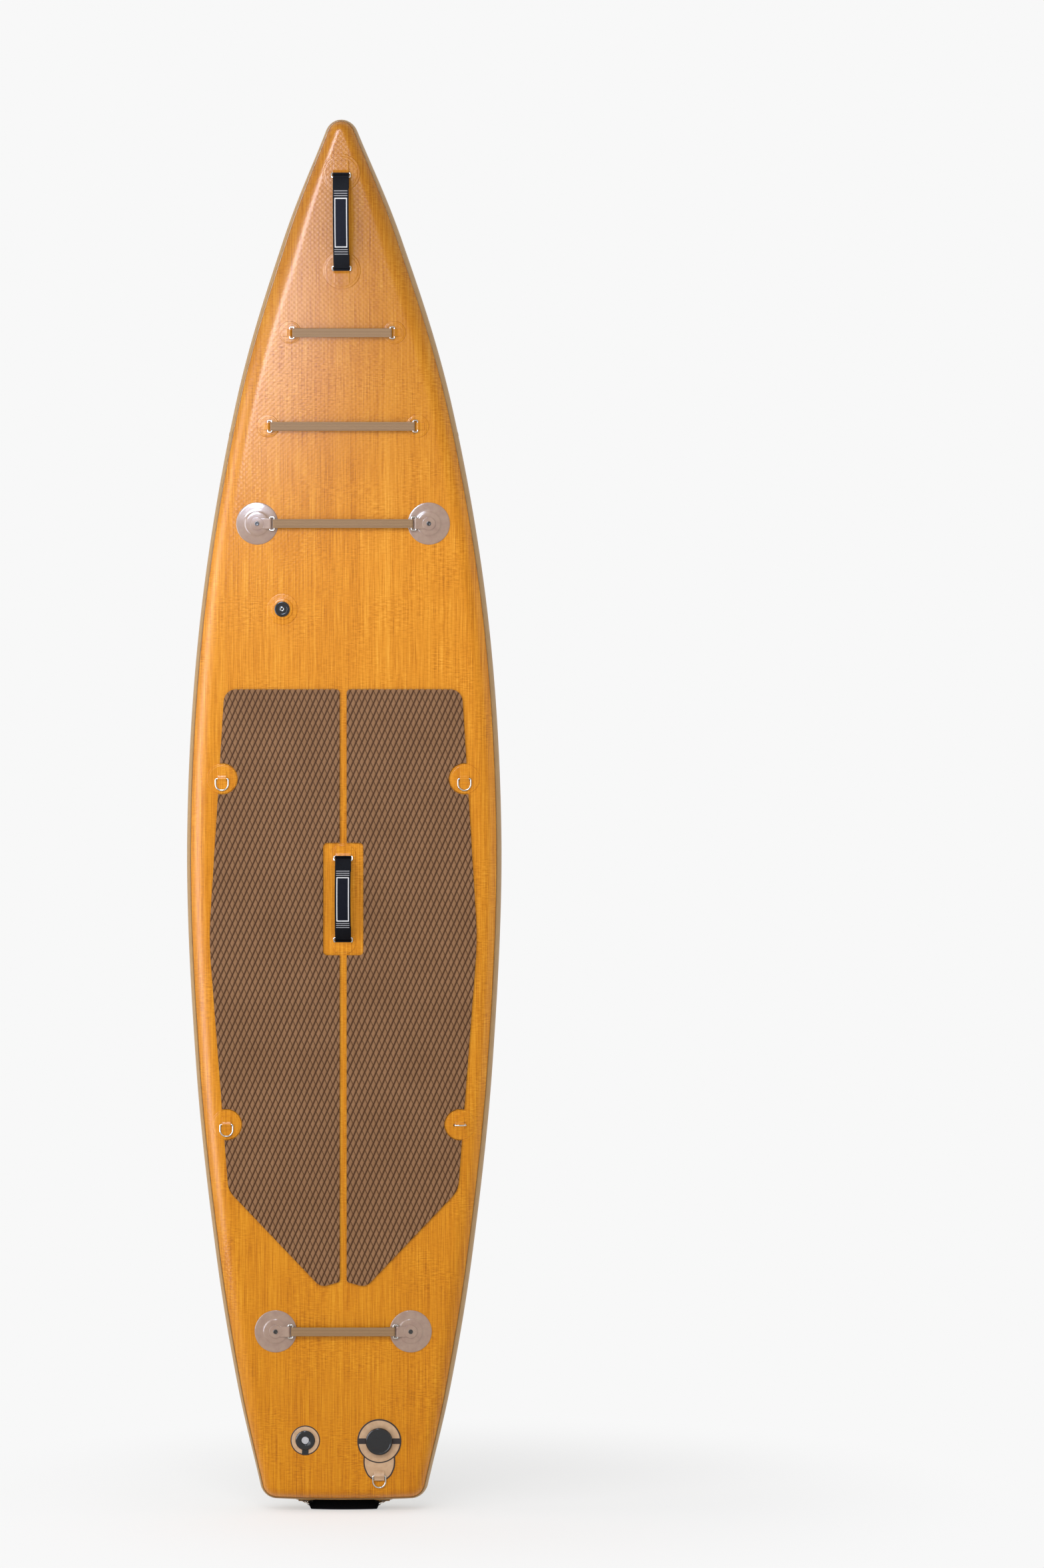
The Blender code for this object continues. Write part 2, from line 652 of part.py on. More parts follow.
def deck_handle(name, station, half, radius):
    """A webbing grab handle on the centre line: two patches, two rings and the strap."""
    reach = handle_reach(half)
    frames = {}
    for end, side, yaw in (("upper", 1, 0), ("lower", -1, 180)):
        frame = deck_frame(0, station + side * reach, yaw, SEAT)
        frames[end] = deck_frame(0, station + side * reach, 0, SEAT)
        patch(f"{name}_patch_{end}", frame, radius, WEBBING - LOOP_INSET, 0.022, WOOD_PRINT)
        slide_ring(f"{name}_ring_{end}", frame, WEBBING, HANDLE_FAR_BAR)
    middle = frame_between(frames["lower"], frames["upper"])
    span = frames["upper"].translation - frames["lower"].translation
    bars = span.length / 2 - far_bar(HANDLE_FAR_BAR)
    sizes = (HANDLE_FAR_BAR, HANDLE_RISE, WEBBING, WEBBING_THICKNESS, 0.030)
    strap(f"{name}_strap", middle, bars, *sizes, BLACK_WEBBING)


def tail_handle():
    """The grab handle across the end of the tail, on two patches bent over the rail band."""
    reach = handle_reach(TAIL_HANDLE_HALF)
    curve = (THICKNESS / 2) ** 2 / RAIL_DEPTH_TAIL

    def bent(x, y):
        return x * x / (2 * curve)

    frames = {}
    for end, side in (("right", 1), ("left", -1)):
        bow = TAIL_BOW * (reach / TAIL_HALF_EDGE) ** 2
        seat = bow - BAND - 2 * SEAT - ORIGIN_FROM_TAIL
        along = Vector((side, 2 * TAIL_BOW * reach / TAIL_HALF_EDGE**2, 0)).normalized()
        out = Vector((along.y * side, -along.x * side, 0))
        turn = Matrix((along.cross(out), along, out)).transposed().to_4x4()
        frame = Matrix.Translation((side * reach, seat, THICKNESS / 2)) @ turn
        frames[end] = frame
        size = (TAIL_PATCH_RADIUS, WEBBING - LOOP_INSET, 0.016)
        patch(f"tail_handle_patch_{end}", frame, *size, RAIL_PVC, bent, 2)
        slide_ring(f"tail_handle_ring_{end}", frame, WEBBING, HANDLE_FAR_BAR)
    middle = frame_between(frames["left"], frames["right"])
    outward_side = Matrix.Rotation(math.pi, 4, "Y")
    sizes = (HANDLE_FAR_BAR, TAIL_HANDLE_RISE, WEBBING, WEBBING_THICKNESS, 0.026)
    bars = TAIL_HANDLE_HALF - HANDLE_FOLD
    strap("tail_handle_strap", middle @ outward_side, bars, *sizes, BLACK_WEBBING)


def cup(name, frame):
    """A moulded round anchor: skirt, raised dome and a screwed tab folded over a ring's bar."""
    dome = CUP_DOME_RADIUS
    profile = [(0, 0), (CUP_RADIUS, 0), (CUP_RADIUS, 0.0010), (CUP_RADIUS - 0.004, 0.0022)]
    profile += [(dome + 0.004, 0.0030), (dome, 0.0045), (dome - 0.006, CUP_HEIGHT - 0.0005)]
    profile += [(dome - 0.014, CUP_HEIGHT), (0, CUP_HEIGHT)]
    middle = frame @ Matrix.Translation((0, CUP_OFFSET, 0))
    piece = place(name, turned(profile, 22), CUP_PVC, middle)
    low = CUP_HEIGHT - FIT
    head = turned([(0, low), (TAB_HEAD_RADIUS, low), (TAB_HEAD_RADIUS, low + TAB), (0, low + TAB)], 16)
    combine(piece, place(f"head_of_{name}", head, CUP_PVC, middle), "UNION")
    turn = WIRE / 2 + HOOK_FIT + TAB / 2
    line = [(CUP_OFFSET + 0.004, low + TAB / 2), (CUP_OFFSET - 0.016, low + TAB / 2)]
    line += arc((0, CUP_BAR), turn, 70, 205, 7)
    tab = side_prism(band_outline(line, TAB), TAB_WIDTH)
    return combine(piece, place(f"tab_of_{name}", tab, CUP_PVC, frame), "UNION")


def bungee(number, station, inset):
    """One flat elastic cargo strap across the deck, with its two anchors and rings."""
    name = f"bungee_{number}"
    half = half_width_at(station) - inset
    moulded = number in CUP_BUNGEES
    near = CUP_BAR if moulded else BAR_HEIGHT
    ring_width = TAB_WIDTH if moulded else ELASTIC
    for side, sign, yaw in (("left", -1, 90), ("right", 1, -90)):
        frame = deck_frame(sign * half, station, yaw, SEAT)
        if moulded:
            cup(f"{name}_cup_{side}", frame)
        else:
            size = (BUNGEE_PATCH_RADIUS, ELASTIC - LOOP_INSET, 0.015)
            patch(f"{name}_patch_{side}", frame, *size, WOOD_PRINT)
        slide_ring(f"{name}_ring_{side}", frame, ring_width, ELASTIC_FAR_BAR, near)
    middle = deck_frame(0, station, -90, SEAT)
    bars = half - far_bar(ELASTIC_FAR_BAR, near)
    sizes = (ELASTIC_FAR_BAR, 0.0, ELASTIC, ELASTIC_THICKNESS, 0.022)
    strap(f"{name}_strap", middle, bars, *sizes, ELASTIC_WEB)


def side_ring(place_name, side, station, inset, rest):
    """A D-ring on a round patch that bends down with the rail at its outer edge."""
    x = side * (half_width_at(station) - inset)

    def bent(dx, dy):
        past = max(abs(x + dx) - flat_half_at(station + dy), 0) / RAIL_DEPTH
        return THICKNESS / 2 * (1 - math.sqrt(max(1 - past * past, 0)))

    frame = deck_frame(x, station, 0, SEAT)
    size = (SIDE_PATCH_RADIUS, DEE_WIDTH - WIRE - 0.006, 0.018)
    patch(f"side_patch_{place_name}", frame, *size, WOOD_PRINT, bent, 6)
    dee_ring(f"side_ring_{place_name}", frame, rest)


def hole(piece, name, frame, radius, low, high, steps=16):
    """Cuts a round hole along a frame's z."""
    circle = arc((0, 0), radius, 0, 360, steps)[:-1]
    combine(piece, place(name, prism(circle, low, high), BLACK_PLASTIC, frame), "DIFFERENCE")


def valve_plate():
    """The tan plate round the inflation valve, whose tongue holds the leash ring."""
    half = LEASH_TONGUE_WIDTH / 2
    shoulder = math.degrees(math.acos(half / VALVE_PLATE_RADIUS))
    end = LEASH_TONGUE_END - VALVE[1]
    radius = 0.020
    outline = arc((0, 0), VALVE_PLATE_RADIUS, -shoulder, 180 + shoulder, 28)
    outline += arc((-half + radius, end + radius), radius, 180, 270, 5)
    outline += arc((half - radius, end + radius), radius, 270, 360, 5)
    frame = deck_frame(*VALVE, 0, SEAT)
    plate = place("valve_plate", prism(outline, 0, PATCH), PLATE_PVC, frame)
    hole(plate, "valve_plate_hole", frame, VALVE_NECK_RADIUS + 0.001, -0.002, 0.004)
    bar = deck_frame(VALVE[0], LEASH_BAR, 0, SEAT)
    loop = side_prism(loop_outline(0.0105, PATCH), DEE_WIDTH - WIRE - 0.006)
    combine(plate, place("leash_loop", loop, PLATE_PVC, bar), "UNION")
    dee_ring("leash_ring", bar, 0)


def inflation_valve():
    """A push-to-lock valve: body with a spider, sprung stem with its disc, and screw cap."""
    frame = deck_frame(*VALVE)
    low = SEAT + PATCH + FIT
    top = low + 0.004
    flange, neck, bore = VALVE_FLANGE_RADIUS, VALVE_NECK_RADIUS, VALVE_BORE
    web_top, web = -0.018, -0.020
    guide_bore = 0.0036
    profile = [(neck, low), (flange, low), (flange, low + 0.002), (flange - 0.004, top)]
    profile += [(bore + 0.003, top), (bore, top - 0.002), (bore, web_top), (guide_bore, web_top)]
    profile += [(guide_bore, web), (bore, web), (bore, -VALVE_DEPTH), (neck, -VALVE_DEPTH)]
    body = place("valve_body", turned(profile, 20), BLACK_PLASTIC, frame)
    for k in range(3):
        turn = frame @ Matrix.Rotation(math.radians(120 * k), 4, "Z")
        way = turn @ Matrix.Translation((0.0098, 0, 0))
        hole(body, f"air_way_{k}", way, 0.0034, web - 0.002, web_top + 0.002, 8)
    disc = web - FIT
    shaft = guide_bore - 0.0004
    head_low = VALVE_STEM_TOP - 0.0025
    stem = [(0, VALVE_STEM_TOP), (0.006, VALVE_STEM_TOP), (0.006, head_low), (shaft, head_low)]
    stem += [(shaft, disc), (0.0145, disc), (0.0145, disc - 0.002), (0, disc - 0.002)]
    place("valve_stem", turned(stem, 20), GREY_PLASTIC, frame)
    wire = VALVE_SPRING_WIRE
    start, end = web_top + wire + FIT, head_low - wire - FIT
    spring(frame, shaft + 0.0006 + wire, start, end, wire)
    base = top + FIT
    cap = [(0, base + 0.0120), (0.020, base + 0.0115), (0.031, base + 0.0090)]
    cap += [(0.036, base + 0.0040), (0.036, base), (0.030, base), (0.028, base + 0.0040)]
    cap.append((0, base + 0.0070))
    place("valve_cap", turned(cap, 24), BLACK_PLASTIC, frame)


def spring(frame, radius, start, end, wire):
    """The valve's coil spring: an even helix, its least gap printed."""
    steps = 10 * VALVE_SPRING_TURNS
    t = np.linspace(0, 1, steps + 1)
    angle = t * VALVE_SPRING_TURNS * 2 * math.pi
    points = np.stack([radius * np.cos(angle), radius * np.sin(angle), start + (end - start) * t], 1)
    pitch = (end - start) / VALVE_SPRING_TURNS
    print(f"valve_spring: least gap between turns {1000 * (pitch - 2 * wire):.2f} mm")
    ahead = np.gradient(points, axis=0)
    ahead /= np.linalg.norm(ahead, axis=1)[:, None]
    out = np.stack([np.cos(angle), np.sin(angle), np.zeros_like(angle)], 1)
    up = np.cross(ahead, out)
    sides = 5
    turn = np.arange(sides) * 2 * math.pi / sides
    rings = np.cos(turn)[None, :, None] * out[:, None] + np.sin(turn)[None, :, None] * up[:, None]
    skin_points = (points[:, None] + wire * rings).reshape(-1, 3)
    faces = []
    for i in range(steps):
        for j in range(sides):
            k = (j + 1) % sides
            a, b = i * sides, (i + 1) * sides
            faces.append((a + j, a + k, b + k, b + j))
    faces.append(tuple(range(sides)))
    faces.append(tuple(steps * sides + j for j in range(sides)))
    place("valve_spring", from_points(skin_points.tolist(), faces), STEEL, frame)


def relief_valve():
    """A pressure relief valve: a body with a spider, and the poppet that lifts off it."""
    frame = deck_frame(*RELIEF)
    low = SEAT
    top = low + 0.005
    flange, neck = RELIEF_FLANGE_RADIUS, RELIEF_NECK_RADIUS
    bore = RELIEF_POPPET_RADIUS + 0.0008
    web_top, web = -0.004, -0.006
    guide_bore = 0.0030
    profile = [(neck, low), (flange, low), (flange, low + 0.003), (flange - 0.003, top)]
    profile += [(bore + 0.002, top), (bore, top - 0.002), (bore, web_top), (guide_bore, web_top)]
    profile += [(guide_bore, web), (bore, web), (bore, -0.022), (neck, -0.022)]
    body = place("relief_valve_body", turned(profile, 18), BLACK_PLASTIC, frame)
    for k in range(3):
        turn = frame @ Matrix.Rotation(math.radians(120 * k), 4, "Z")
        way = turn @ Matrix.Translation((0.0068, 0, 0))
        hole(body, f"relief_way_{k}", way, 0.0022, web - 0.002, web_top + 0.002, 8)
    seat, head = web_top + FIT, web_top + 0.0065
    shaft = guide_bore - 0.0004
    radius = RELIEF_POPPET_RADIUS
    poppet = [(0, head), (radius - 0.001, head), (radius, head - 0.001), (radius, seat)]
    poppet += [(shaft, seat), (shaft, -0.0155), (0, -0.0155)]
    place("relief_poppet", turned(poppet, 20), GREY_PLASTIC, frame)


def action_mount():
    """A moulded accessory mount: stepped patch and puck with a threaded socket."""
    frame = deck_frame(*ACTION_MOUNT, 0, SEAT)
    profile = [(0, 0), (0.041, 0), (0.041, 0.0008), (0.040, 0.0012), (0.0285, 0.0016)]
    profile += [(0.0275, 0.0045), (0.0225, 0.0055), (0.0205, 0.0055), (0.0200, 0.0080)]
    profile += [(0.0190, 0.0088), (0.0045, 0.0088), (0.0030, 0.0080), (0.0030, 0.0030), (0, 0.0030)]
    place("action_mount", turned(profile, 20), WOOD_PRINT, frame)


def fin_box():
    """The fin box on the hull: a flange plate and a block with a closed T slot."""
    middle = FIN_BOX_CENTRE - ORIGIN_FROM_TAIL
    half, width = FIN_BOX_LENGTH / 2, FIN_BOX_WIDTH / 2
    wide, long = FIN_FLANGE_WIDTH / 2, half + FIN_FLANGE_MARGIN

    def block(x, y, radius, low, high):
        corners = [(-x, middle - y, radius), (x, middle - y, radius)]
        corners += [(x, middle + y, radius), (-x, middle + y, radius)]
        return prism(rounded(corners, 4), low, high)

    top = -SEAT
    bottom = top - FIN_BOX_HEIGHT
    plate = block(wide, long, 0.030, top - FIN_FLANGE, top)
    box = place("fin_box", plate, FIN_PLASTIC)
    body = block(width, half, 0.012, bottom, top - FIN_FLANGE + FIT)
    combine(box, place("fin_box_block", body, FIN_PLASTIC), "UNION")
    roof = top - FIN_FLANGE - 0.001
    slot_half = half - 0.012
    slot = block(FIN_SLOT / 2, slot_half, 0.002, bottom - 0.002, roof)
    combine(box, place("fin_slot", slot, FIN_PLASTIC), "DIFFERENCE")
    groove = block(FIN_GROOVE / 2, slot_half, 0.002, roof - FIN_GROOVE_HEIGHT, roof + FIT)
    combine(box, place("fin_groove", groove, FIN_PLASTIC), "DIFFERENCE")
    return middle, bottom, roof


def fin(middle, bottom, roof):
    """The centre fin: a swept foil blade whose T foot slides in the box."""
    spans = np.linspace(0, 1, 9)
    lead = FIN_ROOT / 2 - 0.150 * spans**1.4
    trail = -FIN_ROOT / 2 - 0.062 * np.sin(spans * math.pi / 2) ** 0.8
    trail += 0.020 * spans**6
    chord = lead - trail
    around = np.linspace(0, 2 * math.pi, 16, endpoint=False)
    along = (1 + np.cos(around)) / 2
    thick = 0.0085 * (1 - 0.65 * spans)
    camber = np.sign(np.sin(around)) * np.sqrt(along) * (1 - along) * 2.6 / 2 + 0.04 * np.sin(around)
    root = bottom - FIN_FIT
    x = np.outer(thick, camber) / 2
    y = middle + trail[:, None] + np.outer(chord, 1 - along)
    z = np.broadcast_to((root - FIN_DEPTH * spans)[:, None], x.shape)
    points = np.stack([x, y, z], 2).reshape(-1, 3)
    count = len(around)
    faces = []
    for i in range(len(spans) - 1):
        for j in range(count):
            k = (j + 1) % count
            a, b = i * count, (i + 1) * count
            faces.append((a + j, a + k, b + k, b + j))
    faces.append(tuple(range(count)))
    last = (len(spans) - 1) * count
    faces.append(tuple(last + j for j in range(count)))
    blade = place("fin", from_points(points.tolist(), faces), FIN_PLASTIC)
    half, neck = FIN_TONGUE / 2, FIN_SLOT / 2 - FIN_FIT

    def foot(width, low, high):
        outline = [(-width, middle - half), (width, middle - half)]
        outline += [(width, middle + half), (-width, middle + half)]
        return prism(outline, low, high)

    crown = roof - FIN_FIT
    base = crown - FIN_GROOVE_HEIGHT + 2 * FIN_FIT
    tongue = foot(neck, root - FIT, base + FIT)
    combine(blade, place("fin_tongue", tongue, FIN_PLASTIC), "UNION")
    tee = foot(FIN_GROOVE / 2 - FIN_FIT, base, crown)
    combine(blade, place("fin_foot", tee, FIN_PLASTIC), "UNION")


deck = skin("deck_skin", 1, WOOD_PRINT)
hole(deck, "valve_hole", deck_frame(*VALVE), VALVE_NECK_RADIUS + 0.001, -0.010, 0.010)
hole(deck, "relief_hole", deck_frame(*RELIEF), RELIEF_NECK_RADIUS + 0.001, -0.010, 0.010)
skin("hull_skin", -1, HULL_PVC)
rail_band()
drop_stitch_core()
deck_pad("left")
deck_pad("right")
deck_handle("nose_handle", NOSE_HANDLE, NOSE_HANDLE_HALF, NOSE_PATCH_RADIUS)
deck_handle("carry_handle", ORIGIN_FROM_TAIL, CARRY_HANDLE_HALF, CARRY_PATCH_RADIUS)
tail_handle()
for bungee_number, (bungee_station, bungee_inset) in BUNGEES.items():
    bungee(bungee_number, bungee_station, bungee_inset)
for ring_place, ring in SIDE_RINGS.items():
    side_ring(ring_place, *ring)
valve_plate()
inflation_valve()
relief_valve()
action_mount()
fin(*fin_box())
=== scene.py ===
"""An inflatable touring stand up paddleboard, standing on its tail with the deck to the camera."""

import math

import bmesh
import bpy
import numpy as np
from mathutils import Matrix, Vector


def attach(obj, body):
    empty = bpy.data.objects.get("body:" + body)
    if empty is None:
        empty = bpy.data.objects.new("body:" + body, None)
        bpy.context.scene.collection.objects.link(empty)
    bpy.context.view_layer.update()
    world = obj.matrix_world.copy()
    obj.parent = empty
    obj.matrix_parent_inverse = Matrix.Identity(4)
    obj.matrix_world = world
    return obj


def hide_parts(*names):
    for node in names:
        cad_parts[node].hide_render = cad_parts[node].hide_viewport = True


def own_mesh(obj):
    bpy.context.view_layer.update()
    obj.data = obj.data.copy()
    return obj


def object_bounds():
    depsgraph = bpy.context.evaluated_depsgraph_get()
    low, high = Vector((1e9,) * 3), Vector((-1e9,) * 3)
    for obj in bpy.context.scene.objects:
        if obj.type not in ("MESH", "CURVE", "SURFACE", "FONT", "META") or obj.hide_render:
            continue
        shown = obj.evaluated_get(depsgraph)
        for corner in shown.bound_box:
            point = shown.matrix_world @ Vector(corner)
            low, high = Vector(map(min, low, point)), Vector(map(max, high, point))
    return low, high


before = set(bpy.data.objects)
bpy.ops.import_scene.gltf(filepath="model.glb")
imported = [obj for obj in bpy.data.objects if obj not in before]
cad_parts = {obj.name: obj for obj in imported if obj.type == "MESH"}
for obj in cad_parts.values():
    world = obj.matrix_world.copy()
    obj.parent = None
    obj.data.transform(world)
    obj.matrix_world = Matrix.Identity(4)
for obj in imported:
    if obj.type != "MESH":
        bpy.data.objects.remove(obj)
cad_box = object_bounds()


# The studio: a pale floor that runs out of sight into a pale surround, a large soft lamp high in
# front and one on the left, a weak one at each side for the rails, two cool cards that only show as
# the sheen on the nose and the left rail, and a camera straight before the deck, to its right.
PAPER, FLOOR_PAPER, WHITE, COOL = "F8F8F8", "FBFBFB", "FFFFFF", "D2E2FF"
AMBIENT = 0.58
FLOOR_REACH, FLOOR_GAP = 60.0, 0.0005
SHADOW_AT, SHADOW_NEAR, SHADOW_FAR, SHADOW_PALE = (0.25, 0.1), 0.5, 1.6, 0.50
CAMERA_FAR, SENSOR = 12.0, 36.0
PHOTO_WIDTH, PHOTO_HEIGHT = 1568, 2354
METRES_A_PIXEL, BOARD_MIDDLE_PIXEL = 0.001772, 515.5
VIEW_MIDDLE_HIGH, DECK_PLANE = 0.306, -0.152


def linear(colour):
    """An sRGB hex colour as linear red, green, blue and a full alpha."""
    srgb = np.array([int(colour[i : i + 2], 16) for i in (0, 2, 4)]) / 255
    light = np.where(srgb > 0.04045, ((srgb + 0.055) / 1.055) ** 2.4, srgb / 12.92)
    return (*light.tolist(), 1.0)


def add(tree, kind, inputs=(), stops=(), **settings):
    """Adds a node and gives its outputs. Inputs are plain values or sockets to link, in a row or by
    name, stops are the places and sRGB colours of a colour ramp, settings the node's own options."""
    made = tree.nodes.new("ShaderNode" + kind)
    for key, value in settings.items():
        setattr(made, key, value)
    for key, value in inputs.items() if isinstance(inputs, dict) else enumerate(inputs):
        if isinstance(value, bpy.types.NodeSocket):
            tree.links.new(value, made.inputs[key])
        else:
            made.inputs[key].default_value = value
    for number, (place, colour) in enumerate(stops):
        steps = made.color_ramp.elements
        step = steps[number] if number < len(steps) else steps.new(1.0)
        step.position, step.color = place, linear(colour)
    return made.outputs


def looked_at(tree):
    """One for the rays that show the backdrop: from the camera, off gloss and through clear stuff."""
    ray = add(tree, "LightPath")
    eye = add(tree, "Math", (ray["Is Camera Ray"], ray["Is Glossy Ray"]), operation="MAXIMUM")
    return add(tree, "Math", (eye[0], ray["Is Transmission Ray"]), operation="MAXIMUM")[0]


scene = bpy.context.scene
scene.view_settings.view_transform = "Standard"
scene.world = bpy.data.worlds.new("pale_surround")
scene.world.use_nodes = True
tree = scene.world.node_tree
tree.nodes.clear()
lit = add(tree, "Background", {"Color": linear(WHITE), "Strength": AMBIENT})
shown = add(tree, "Background", {"Color": linear(PAPER), "Strength": 1.0})
mix = add(tree, "MixShader", (looked_at(tree), lit[0], shown[0]))
add(tree, "OutputWorld", {"Surface": mix[0]})

# Seamless paper: matt and without grain. It takes the shadow under the board, which fades out into
# the plain pale colour that the surround has.
floor_mesh = bpy.data.meshes.new("studio_floor")
low = cad_box[0][2] - FLOOR_GAP
square = np.array([(-1, -1, 0), (1, -1, 0), (1, 1, 0), (-1, 1, 0)]) * FLOOR_REACH + (0, 0, low)
floor_mesh.from_pydata(square.tolist(), [], [(0, 1, 2, 3)])
floor = bpy.data.objects.new("studio_floor", floor_mesh)
scene.collection.objects.link(floor)
paper = bpy.data.materials.new("seamless_paper")
paper.use_nodes = True
tree = paper.node_tree
tree.nodes.clear()
at = add(tree, "TexCoord")["Object"]
apart = add(tree, "VectorMath", (at, (*SHADOW_AT, low)), operation="DISTANCE")
fade = add(tree, "MapRange",
           {"Value": apart["Value"], "From Min": SHADOW_NEAR, "From Max": SHADOW_FAR,
            "To Min": SHADOW_PALE},
           interpolation_type="SMOOTHSTEP")
matt = add(tree, "BsdfDiffuse", {"Color": linear(FLOOR_PAPER)})
plain = add(tree, "Emission", {"Color": linear(PAPER), "Strength": 1.0})
far = add(tree, "Math", (fade[0], looked_at(tree)), operation="MULTIPLY")
mix = add(tree, "MixShader", (far[0], matt[0], plain[0]))
add(tree, "OutputMaterial", {"Surface": mix[0]})
floor_mesh.materials.append(paper)

# Each lamp's place, aim, width, height, power and colour, and whether gloss and matt surfaces see it.
LAMPS = {
    "high_soft_box": ((-0.4, -6.0, 4.0), (0, -0.2, 0.4), 4.0, 2.6, 168, WHITE, False, True),
    "side_soft_box": ((-3.7, -3.9, 1.3), (0, -0.2, 0.6), 3.0, 4.5, 102, WHITE, True, True),
    "left_fill": ((-4.4, -0.2, 0.6), (0, -0.1, 0.4), 1.5, 3.8, 34, WHITE, True, True),
    "right_fill": ((4.4, -0.2, 0.6), (0, -0.1, 0.4), 1.5, 3.8, 15, WHITE, True, True),
    "nose_card": ((-0.44, -1.24, 1.61), (-0.30, -0.25, 1.32), 0.50, 1.04, 66, COOL, True, False),
    "rail_card": ((-2.4, -0.8, 0.2), (-0.4, -0.12, 0.2), 1.1, 3.2, 125, COOL, True, False)}
for name, (place, aim, width, height, power, colour, gloss, matt) in LAMPS.items():
    light = bpy.data.lights.new(name, "AREA")
    light.shape = "RECTANGLE"
    light.size, light.size_y, light.energy = width, height, power
    light.color = linear(colour)[:3]
    made = bpy.data.objects.new(name, light)
    scene.collection.objects.link(made)
    made.location = place
    made.rotation_euler = (Vector(aim) - Vector(place)).to_track_quat("-Z", "Y").to_euler()
    made.visible_camera, made.visible_glossy, made.visible_diffuse = False, gloss, matt

camera = bpy.data.cameras.new("camera")
camera.sensor_fit = "VERTICAL"
camera.sensor_height = SENSOR
camera.lens = SENSOR * CAMERA_FAR / (PHOTO_HEIGHT * METRES_A_PIXEL)
viewer = bpy.data.objects.new("camera", camera)
scene.collection.objects.link(viewer)
aside = (PHOTO_WIDTH / 2 - BOARD_MIDDLE_PIXEL) * METRES_A_PIXEL
viewer.location = (aside, DECK_PLANE - CAMERA_FAR, VIEW_MIDDLE_HIGH)
viewer.rotation_euler = (math.radians(90), 0, 0)
scene.camera = viewer


# The inflated hull: two PVC sheets, flat over the drop stitch threads and turned over round rails,
# closed by a tan band welded over both edges. The deck sheet carries a wood grain print.
LENGTH, HALF_WIDTH, THICKNESS = 3.660, 0.4185, 0.152
ORIGIN = 0.4388 * LENGTH
SIDE_STATIONS = ((0.0866, 0.6820), (0.1831, 0.8189), (0.3178, 0.9431), (0.4814, 1.0),
                 (0.6451, 0.9137), (0.7992, 0.6820), (0.9148, 0.3747))
TAIL_HALF_EDGE, TAIL_BOW, TAIL_CORNER, TAIL_CORNER_END = 0.178, 0.004, 0.045, -8
NOSE_RADIUS, NOSE_HALF_ANGLE = 0.042, 25
RAIL_DEPTH, RAIL_DEPTH_TAIL, RAIL_DEPTH_NOSE, RAIL_BLEND = 0.058, 0.038, 0.036, 0.45
ROCKER, ROCKER_START = 0.18, LENGTH - 1.46
SKIN, BAND, SEAT = 0.0016, 0.0016, 0.0008
BAND_ANGLE, LAP_ANGLE = math.radians(35), math.radians(12)
EDGE_POINTS, RAIL_POINTS, FLAT_POINTS, BAND_POINTS = 500, 18, 60, 21
SHARP_EDGE, WELD, SPECK = math.radians(35), 1e-6, 1e-7
VALVE, RELIEF = (0.096, 0.164), (-0.101, 0.166)
VALVE_HOLE, RELIEF_HOLE = 0.026, 0.020
MIRROR = np.array([-1, 1, 1])


def rocker(station):
    """The lift of the board's bottom: a parabola from the start of the rocker to the nose."""
    nose = np.clip((station - ROCKER_START) / (LENGTH - ROCKER_START), 0, None)
    return ROCKER * nose**2


def arc(centre, radius, start, end, count):
    """Points along a circle's arc, angles in degrees."""
    angles = np.radians(np.linspace(start, end, count))
    return np.stack([centre[0] + radius * np.cos(angles), centre[1] + radius * np.sin(angles)], 1)


def unit(ways):
    """Directions of length one: each divided by its own length."""
    return ways / np.linalg.norm(ways, axis=1)[:, None]


def run_along(line):
    """The length of a line up to each of its points: the running sum of its steps."""
    return np.concatenate([[0], np.cumsum(np.linalg.norm(np.diff(line, axis=0), axis=1))])


def evenly(line, count):
    """The same line, as points at even steps of its length."""
    run = run_along(line)
    steps = np.linspace(0, run[-1], count)
    return np.stack([np.interp(steps, run, line[:, k]) for k in range(line.shape[1])], 1)


def spline(points, count=60):
    """A Catmull-Rom curve: between each two points a cubic set by them and their neighbours."""
    p = np.array(points)
    p = np.vstack([2 * p[0] - p[1], p, 2 * p[-1] - p[-2]])
    a, b, c, d = (p[k : len(p) - 3 + k, None] for k in range(4))
    u = np.linspace(0, 1, count, endpoint=False)[None, :, None]
    curve = b + (c - a) * u / 2 + (2 * a - 5 * b + 4 * c - d) * u**2 / 2
    curve = curve + (3 * b - a - 3 * c + d) * u**3 / 2
    return np.vstack([curve.reshape(-1, 2), p[-2]])


def eased(share):
    """A share from nought to one with a soft start and end: three squares less two cubes."""
    share = np.clip(share, 0, 1)
    return share**2 * (3 - 2 * share)


def board_edge():
    """The right half of the planform: bowed tail, round corner, spline along the side, nose."""
    x = np.linspace(0, TAIL_HALF_EDGE, 30)
    tail = np.stack([x, TAIL_BOW * (x / TAIL_HALF_EDGE) ** 2], 1)
    corner = arc((TAIL_HALF_EDGE, TAIL_BOW + TAIL_CORNER), TAIL_CORNER, -90, TAIL_CORNER_END, 40)
    bow = arc((0, LENGTH - NOSE_RADIUS), NOSE_RADIUS, NOSE_HALF_ANGLE, 90, 40)
    side = spline([corner[-1], *[(w * HALF_WIDTH, s * LENGTH) for s, w in SIDE_STATIONS], bow[0]])
    return evenly(np.vstack([tail, corner[1:], side[1:-1], bow]), EDGE_POINTS)


